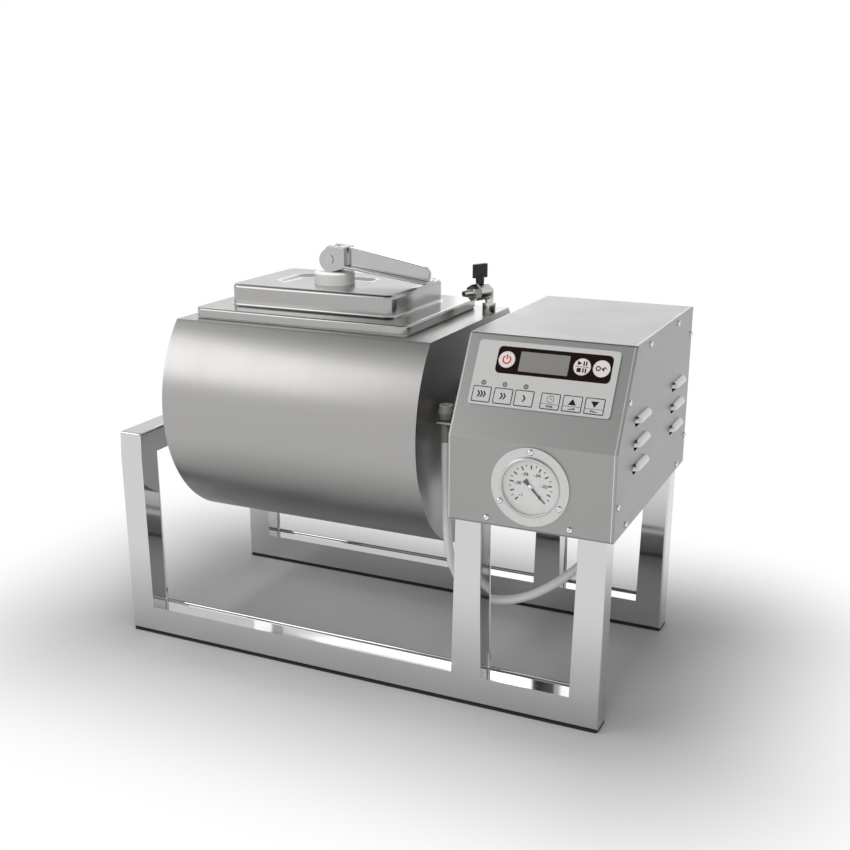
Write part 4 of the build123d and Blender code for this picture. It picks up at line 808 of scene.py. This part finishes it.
# Gauge dial: a scale over 270 degrees with plain numbers. A mark is its inner and outer radius and width.
dial_face = frame_matrix(place(GAUGE_X, BOX_FRONT - GAUGE_FLANGE + DIAL_SUNK, GAUGE_Z), (1, 0, 0), (0, -1, 0))
SCALE_START = radians(-46)
SCALE_SWEEP = radians(270)
SCALE_STEPS = 20
LONG_MARK = (18.4, 22.8, 1.6)
SHORT_MARK = (21.2, 23.6, 1.0)
NUMBERS = ("0", "-.02", "-.04", "-.06", "-.08", "-.1")
NUMBER_SIZE = 4.8
NUMBER_RADIUS = 14.2
for step in range(SCALE_STEPS + 1):
    angle = SCALE_START + SCALE_SWEEP * step / SCALE_STEPS
    inner, outer, width = SHORT_MARK if step % 2 else LONG_MARK
    mark = stroke((inner * cos(angle), inner * sin(angle)), (outer * cos(angle), outer * sin(angle)), width)
    flat_shape("dial_mark_%02d" % step, [mark], dial_face, PRINT, black_ink, "frame")
for step, text in enumerate(NUMBERS):
    angle = SCALE_START + SCALE_SWEEP * step / (len(NUMBERS) - 1)
    letters("dial_number_%d" % step, text, NUMBER_SIZE, dial_face, NUMBER_RADIUS * cos(angle),
            NUMBER_RADIUS * sin(angle), PRINT, black_ink, "frame")

# The needle: a wedge of a tail, a thin shaft and a lance tip, with a bright screw on its hub
NEEDLE = ((-9.0, 2.9), (-2.4, 1.2), (12.6, 0.8), (15.0, 1.5), (18.8, 0.0), (15.0, -1.5), (12.6, -0.8),
          (-2.4, -1.2), (-9.0, -2.9))
NEEDLE_OFF_DIAL = 0.6
NEEDLE_THICKNESS = 0.8
needle_face = (dial_face @ Matrix.Translation((0, 0, NEEDLE_OFF_DIAL * MM))
               @ Matrix.Rotation(SCALE_START, 4, "Z"))
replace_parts(flat_shape("dial_needle", [NEEDLE], needle_face, NEEDLE_THICKNESS, needle_black, "gauge_needle"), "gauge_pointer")
work = bmesh.new()
turned(work, NEEDLE_SCREW_PROFILE, needle_face, 20)
finish_piece("needle_screw", mesh_of(work, "needle_screw"), Matrix(), screw_steel, "gauge_needle")

# The suction hose hangs from the outlet under the box to the parked coupling
ROUTE = ((561.5, 100.0, 197.0), (561.5, 100.0, 167.0), (541.0, 98.0, 139.0), (514.0, 94.0, 115.0),
         (484.0, 88.0, 97.0), (452.0, 79.0, 91.0), (425.0, 66.0, 103.0), (410.0, 54.0, 133.0),
         (405.5, 48.5, 173.0), (404.0, 47.0, 228.0), (404.0, 47.0, 283.5))
hose_curve = bpy.data.curves.new("suction_hose", "CURVE")
hose_curve.dimensions = "3D"
hose_curve.bevel_depth = HOSE_DIAMETER * MM / 2
hose_curve.bevel_resolution = 8
hose_curve.resolution_u = 12
hose_curve.use_fill_caps = True
line = hose_curve.splines.new("NURBS")
line.points.add(len(ROUTE) - 1)
for point, (x, y, z) in zip(line.points, ROUTE):
    point.co = (*place(x, y, z), 1)
line.order_u = 3
line.use_endpoint_u = True
hose_curve.materials.append(hose_vinyl)
suction_hose = bpy.data.objects.new("suction_hose", hose_curve)
bpy.context.scene.collection.objects.link(suction_hose)
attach(suction_hose, "frame")
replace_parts(suction_hose, "hose")

# Floor, in metres. The footprint is half the length and depth of the ground that the stand darkens, and round
# it the floor is kept darker as painted shade.
FLOOR_SIZE = 14.0
PAINTED_SHADE_FOOTPRINT = (0.30, 0.13, 0.0)
SHADE_EDGE_FROM = 0.01
SHADE_EDGE_TO = 0.34
bpy.ops.mesh.primitive_plane_add(size=FLOOR_SIZE, location=(0, 0, 0))
floor = bpy.context.object
floor.name = "studio_floor"
floor_material, tree, shader = new_material("pale_studio_floor")
shader.inputs["Base Color"].default_value = linear("#C8C8C8")
shader.inputs["Roughness"].default_value = 0.6
path = add(tree, "ShaderNodeLightPath")
seen = add(tree, "ShaderNodeMath", {0: path.outputs["Is Camera Ray"], 1: path.outputs["Is Glossy Ray"]},
           operation="MAXIMUM")
seen_all = add(tree, "ShaderNodeMath", {0: seen.outputs[0], 1: path.outputs["Is Transmission Ray"]},
               operation="MAXIMUM")
# Away from the machine the floor glows to white, so that it meets the white wall with no line. The glowing
# fades out towards the machine in the shape of its footprint, which leaves painted shade round the stand.
spot = add(tree, "ShaderNodeTexCoord")
either_side = add(tree, "ShaderNodeVectorMath", {0: spot.outputs["Object"]}, operation="ABSOLUTE")
beyond = add(tree, "ShaderNodeVectorMath", {0: either_side.outputs[0], 1: PAINTED_SHADE_FOOTPRINT}, operation="SUBTRACT")
outside = add(tree, "ShaderNodeVectorMath", {0: beyond.outputs[0], 1: (0.0, 0.0, 0.0)}, operation="MAXIMUM")
reach = add(tree, "ShaderNodeVectorMath", {0: outside.outputs[0]}, operation="LENGTH")
rise = add(tree, "ShaderNodeMapRange", {"Value": reach.outputs["Value"], "From Min": SHADE_EDGE_FROM,
                                        "From Max": SHADE_EDGE_TO, "To Min": 0.0, "To Max": 1.0},
           interpolation_type="SMOOTHSTEP")
glow_past_painted_shade = add(tree, "ShaderNodeMath", {0: seen_all.outputs[0], 1: rise.outputs["Result"]}, operation="MULTIPLY")
white = add(tree, "ShaderNodeEmission", {"Color": (1, 1, 1, 1), "Strength": 1.0})
blend = add(tree, "ShaderNodeMixShader", {0: glow_past_painted_shade.outputs[0], 1: shader.outputs[0], 2: white.outputs[0]})
tree.links.new(blend.outputs[0], tree.nodes["Material Output"].inputs["Surface"])
floor.data.materials.append(floor_material)

# White studio walls all round, a little dimmer higher up, under a dark ceiling. Heights are sines of the
# angle over the horizon, and 1 is white.
WALLS_DIM_FROM = 0.08
WALLS_DIM_TO = 0.45
WALLS_LOW = 0.95
WALLS_HIGH = 0.80
CEILING_FROM = 0.72
CEILING_TO = 0.90
CEILING_SHARE = 0.06
DIFFUSE_SHARE = 0.3
world = bpy.data.worlds.new("studio")
bpy.context.scene.world = world
world.use_nodes = True
tree = world.node_tree
background = tree.nodes["Background"]
path = add(tree, "ShaderNodeLightPath")
where = add(tree, "ShaderNodeTexCoord")
split = add(tree, "ShaderNodeSeparateXYZ", {"Vector": where.outputs["Generated"]})
walls = add(tree, "ShaderNodeMapRange", {"Value": split.outputs["Z"], "From Min": WALLS_DIM_FROM,
                                         "From Max": WALLS_DIM_TO, "To Min": WALLS_LOW, "To Max": WALLS_HIGH},
            interpolation_type="SMOOTHSTEP")
ceiling = add(tree, "ShaderNodeMapRange", {"Value": split.outputs["Z"], "From Min": CEILING_FROM,
                                           "From Max": CEILING_TO, "To Min": 1.0, "To Max": CEILING_SHARE},
              interpolation_type="SMOOTHSTEP")
both = add(tree, "ShaderNodeMath", {0: walls.outputs["Result"], 1: ceiling.outputs["Result"]},
           operation="MULTIPLY")
# The walls give the metal its reflections, and most of the diffuse light comes from the softboxes
soft = add(tree, "ShaderNodeMapRange", {"Value": path.outputs["Is Diffuse Ray"], "To Min": 1.0,
                                        "To Max": DIFFUSE_SHARE})
studio = add(tree, "ShaderNodeMath", {0: both.outputs[0], 1: soft.outputs["Result"]}, operation="MULTIPLY")
seen = add(tree, "ShaderNodeMath", {0: path.outputs["Is Camera Ray"], 1: path.outputs["Is Transmission Ray"]},
           operation="MAXIMUM")
choice = add(tree, "ShaderNodeMix", {0: seen.outputs[0], 2: studio.outputs[0], 3: 1.0})
background.inputs["Color"].default_value = (1, 1, 1, 1)
tree.links.new(choice.outputs[0], background.inputs["Strength"])

# Softboxes: watts, then size, place and target in metres
MACHINE_MIDDLE = (0, 0, 0.2)


def softbox(name, power, size, position, target):
    data = bpy.data.lights.new(name, "AREA")
    data.shape = "RECTANGLE"
    data.size, data.size_y = size
    data.energy = power
    thing = bpy.data.objects.new(name, data)
    thing.location = position
    aim = Vector(target) - Vector(position)
    thing.rotation_euler = aim.to_track_quat("-Z", "Y").to_euler()
    bpy.context.scene.collection.objects.link(thing)
    return thing


softbox("key_softbox", 8.4, (1.6, 1.0), (-1.42, -1.22, 1.15), (-0.1, 0, 0.25))
# These two light the dull pieces and would only leave a patch of glare in the metal
softbox("top_softbox", 14.0, (0.9, 0.7), (0.0, -0.12, 1.7), MACHINE_MIDDLE).visible_glossy = False
softbox("front_softbox", 9.0, (1.4, 1.0), (0.45, -1.6, 1.0), MACHINE_MIDDLE).visible_glossy = False
# Bright streaks in the lid and along the rails
softbox("rear_softbox", 0.95, (0.7, 0.55), (-0.1, 1.25, 0.72), (0.2, 0.05, 0.4))
softbox("rear_strip", 0.8, (0.9, 0.2), (-0.75, 1.25, 0.9), (-0.05, -0.13, 0.03))

# Camera solved from the photograph's edges: a normal lens, a little above and to the right of the front
FRAME_PIXELS = 850.0
FOCAL_PIXELS = 1182.6
CENTRE_PIXELS = (414.93, 448.79)
CAMERA_PLACE = (892.04, -1078.74, 650.33)
CAMERA_DOWN = 17.01
CAMERA_TURN = 25.01
camera_data = bpy.data.cameras.new("photo_camera")
camera_data.sensor_width = 36.0
camera_data.lens = FOCAL_PIXELS / FRAME_PIXELS * camera_data.sensor_width
camera_data.shift_x = (FRAME_PIXELS / 2 - CENTRE_PIXELS[0]) / FRAME_PIXELS
camera_data.shift_y = (CENTRE_PIXELS[1] - FRAME_PIXELS / 2) / FRAME_PIXELS
camera = bpy.data.objects.new("photo_camera", camera_data)
camera.location = place(*CAMERA_PLACE)
camera.rotation_euler = (radians(90 - CAMERA_DOWN), 0, radians(CAMERA_TURN))
bpy.context.scene.collection.objects.link(camera)
bpy.context.scene.camera = camera

bpy.context.scene.view_settings.view_transform = "Standard"

bpy.context.view_layer.update()
